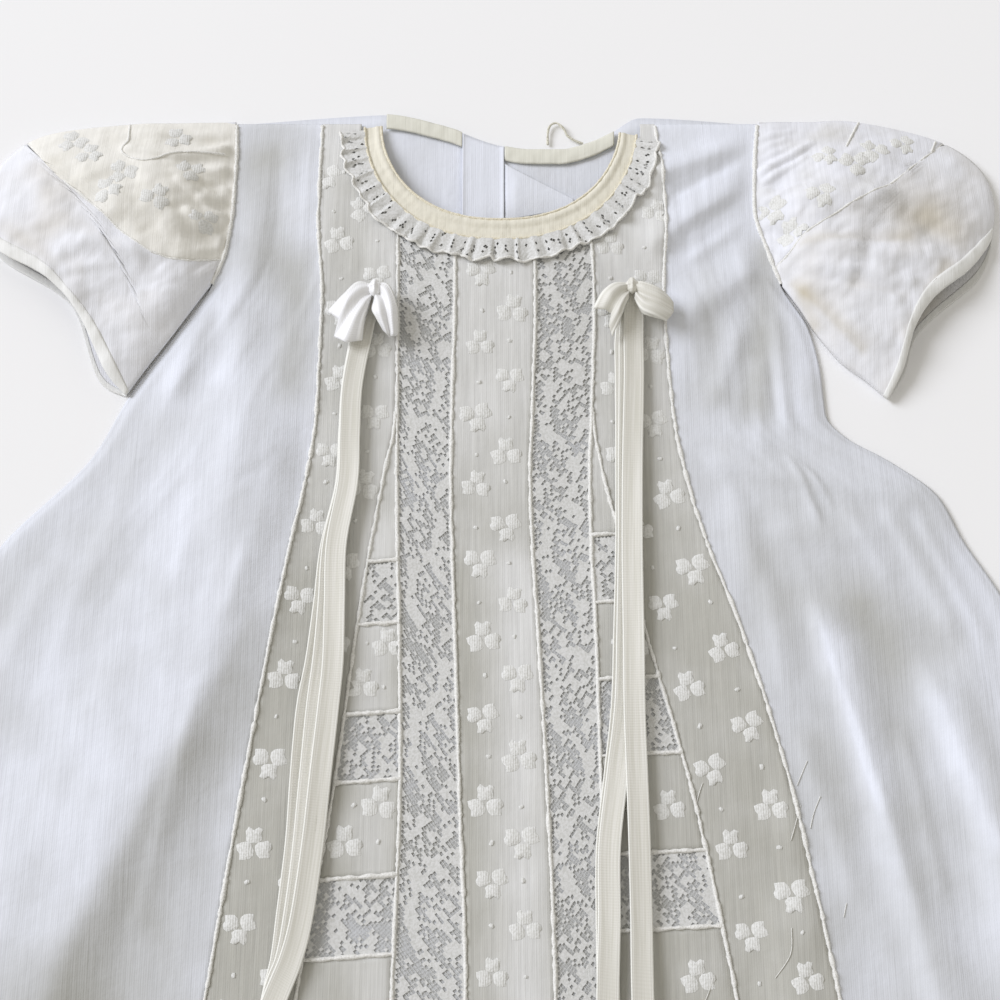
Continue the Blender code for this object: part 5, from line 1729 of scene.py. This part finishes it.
def bow_loop(name, rows, material):
    high = np.add.outer(LOOP_HEIGHTS, LOOP_CREASES)[..., None]
    upper = np.concatenate([np.array(rows, float), high], axis=2)
    under = upper[::-1].copy()
    under[..., 2] = np.maximum(under[..., 2] - LOOP_UNDER * np.array([0.5, 1.1, 1.2, 0.8])[:, None], 6.5)
    middle = under.mean(axis=(0, 1))
    under[..., :2] = mix(under[..., :2], middle[:2], 0.12)
    net = np.concatenate([upper, under])
    last = net.shape[1] - 1

    def where(u, v):
        columns = np.stack([path_point(net[:, k], v) for k in range(last + 1)])
        k = np.clip((u * last).astype(int), 0, last - 1)
        share = (u * last - k)[:, None]
        place = np.arange(len(u))
        point = mix(columns[k, place], columns[k + 1, place], share)
        crinkle = 0.2 * rumple(u * 10, v * 40, 2, 5, 3.0)
        return point[:, 0], point[:, 1], point[:, 2] + crinkle

    piece = cloth_sheet(f"{name}_ribbon", 16, 56, where, material, 0.3)
    add_weave_map(piece, 16, 56, 50.0)
    wide = 2 * RIBBON_WIDTH * MM
    area = sum(face.area for face in piece.data.polygons)
    sew(piece, "bow_satin", [name], (wide, area / wide), held="folded")


for name, rows in BOW_LOOPS.items():
    bow_loop(name, rows, white_satin if "left" in name else ivory_ribbon)

# Each knot is a pinched ball of ribbon: its middle as (x, down, z), and its size.
BOW_KNOTS = {"left": ((-48.8, 82.2, 12.0), (4.6, 7.6, 5.0)), "right": ((54.0, 80.8, 11.5), (4.4, 7.0, 4.6))}
for side, (place, size) in BOW_KNOTS.items():
    bm = bmesh.new()
    bmesh.ops.create_uvsphere(bm, u_segments=28, v_segments=20, radius=0.5)
    for vert in bm.verts:
        x, y, z = vert.co
        pinch = 1 + 0.16 * math.cos(4 * math.pi * x) * (1 - 4 * y * y) + 0.08 * math.sin(14 * y)
        vert.co = (
            (place[0] + x * size[0] * pinch) * MM, (MIDDLE - place[1] + y * size[1]) * MM,
            (place[2] + z * size[2] * pinch) * MM,
        )
    layer = bm.loops.layers.uv.new("weave")
    for face in bm.faces:
        for loop in face.loops:
            loop[layer].uv = (0.5 + 0.4 * (loop.vert.co.x / MM - place[0]) / size[0], loop.vert.co.y / MM)
    mesh = bpy.data.meshes.new(f"bow_knot_{side}_ribbon")
    bm.to_mesh(mesh)
    bm.free()
    mesh.materials.append(white_satin if side == "left" else ivory_ribbon)
    mesh.shade_smooth()
    piece = new_piece(mesh.name, mesh)
    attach(piece, "root")
    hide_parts(f"bow_knot_{side}")


# Loose threads: short ends of the seams' cotton that have worked free near the lower right.
LOOSE_THREADS = [
    [(113.8, 271), (111.5, 276), (109.6, 280)],
    [(117.8, 284), (115.2, 290), (113.6, 295.5)],
    [(110.6, 287), (108.6, 293), (106.2, 300)],
    [(75.2, 279), (73.4, 284), (72.4, 288.5)],
    [(125, 322), (123.6, 327)],
    [(104.4, 331), (103.6, 340), (98.0, 348)],
    [(76.6, 347), (74.4, 353), (73.0, 356)],
]
lines = []
for row in LOOSE_THREADS:
    x, down = path_point(row, np.linspace(0, 1, 14)).T
    lines.append(list(zip(x.tolist(), down.tolist(), (front_top(x, down) + 0.25).tolist())))
cords("loose_threads", lines, white_thread, radius=0.15, unevenness=0.1, sides=5)


# The view: a plain pale surface, soft daylight from the upper left and a camera over the hem.
FLOOR_SIZE, FLOOR_DROP = 12.0, 0.0005  # metres: it lies just below the gown
# Matt white paint on the surface, so that it shows soft shadows and no reflection.
floor_paint = bpy.data.materials.new("pale_surface")
floor_paint.use_nodes = True
floor_shader = floor_paint.node_tree.nodes["Principled BSDF"]
floor_shader.inputs["Base Color"].default_value = colour("#F7F7F7")
floor_shader.inputs["Roughness"].default_value = 0.9
bpy.ops.mesh.primitive_plane_add(size=FLOOR_SIZE, location=(0, 0, -FLOOR_DROP))
floor = bpy.context.active_object
floor.name = "floor"
floor.data.materials.append(floor_paint)

AIM = Vector((0.0012, MIDDLE * MM - 0.169, 0.003))  # what the camera looks at
CAMERA_DISTANCE, CAMERA_TILT, CAMERA_LENS = 0.675, math.radians(70), 62.8
camera_data = bpy.data.cameras.new("camera")
camera_data.lens = CAMERA_LENS
camera_data.sensor_width = 36.0
camera = new_piece("camera", camera_data)
toward = Vector((0.0, -math.cos(CAMERA_TILT), math.sin(CAMERA_TILT)))
camera.location = AIM + CAMERA_DISTANCE * toward
camera.rotation_euler = toward.to_track_quat("Z", "Y").to_euler()
bpy.context.scene.camera = camera

# Daylight from a large window to the upper left, and the warm white room around it.
WINDOW_PLACE, WINDOW_AIM = Vector((-6.0, 2.64, 4.64)), Vector((0.0, 0.12, 0.0))
WINDOW_SIZE, WINDOW_POWER = 4.5, 525.0  # metres and watts
ROOM_STRENGTH = 0.53
daylight = bpy.data.lights.new("window", "AREA")
daylight.shape = "DISK"
daylight.size = WINDOW_SIZE
daylight.energy = WINDOW_POWER
daylight.color = colour("#F1F4FF")[:3]
window = new_piece("window", daylight)
window.location = WINDOW_PLACE
window.rotation_euler = (WINDOW_PLACE - WINDOW_AIM).to_track_quat("Z", "Y").to_euler()
world = bpy.data.worlds.new("room")
world.use_nodes = True
background = world.node_tree.nodes["Background"]
background.inputs["Color"].default_value = colour("#FFFBF3")
background.inputs["Strength"].default_value = ROOM_STRENGTH
bpy.context.scene.world = world
bpy.context.scene.view_settings.view_transform = "Standard"
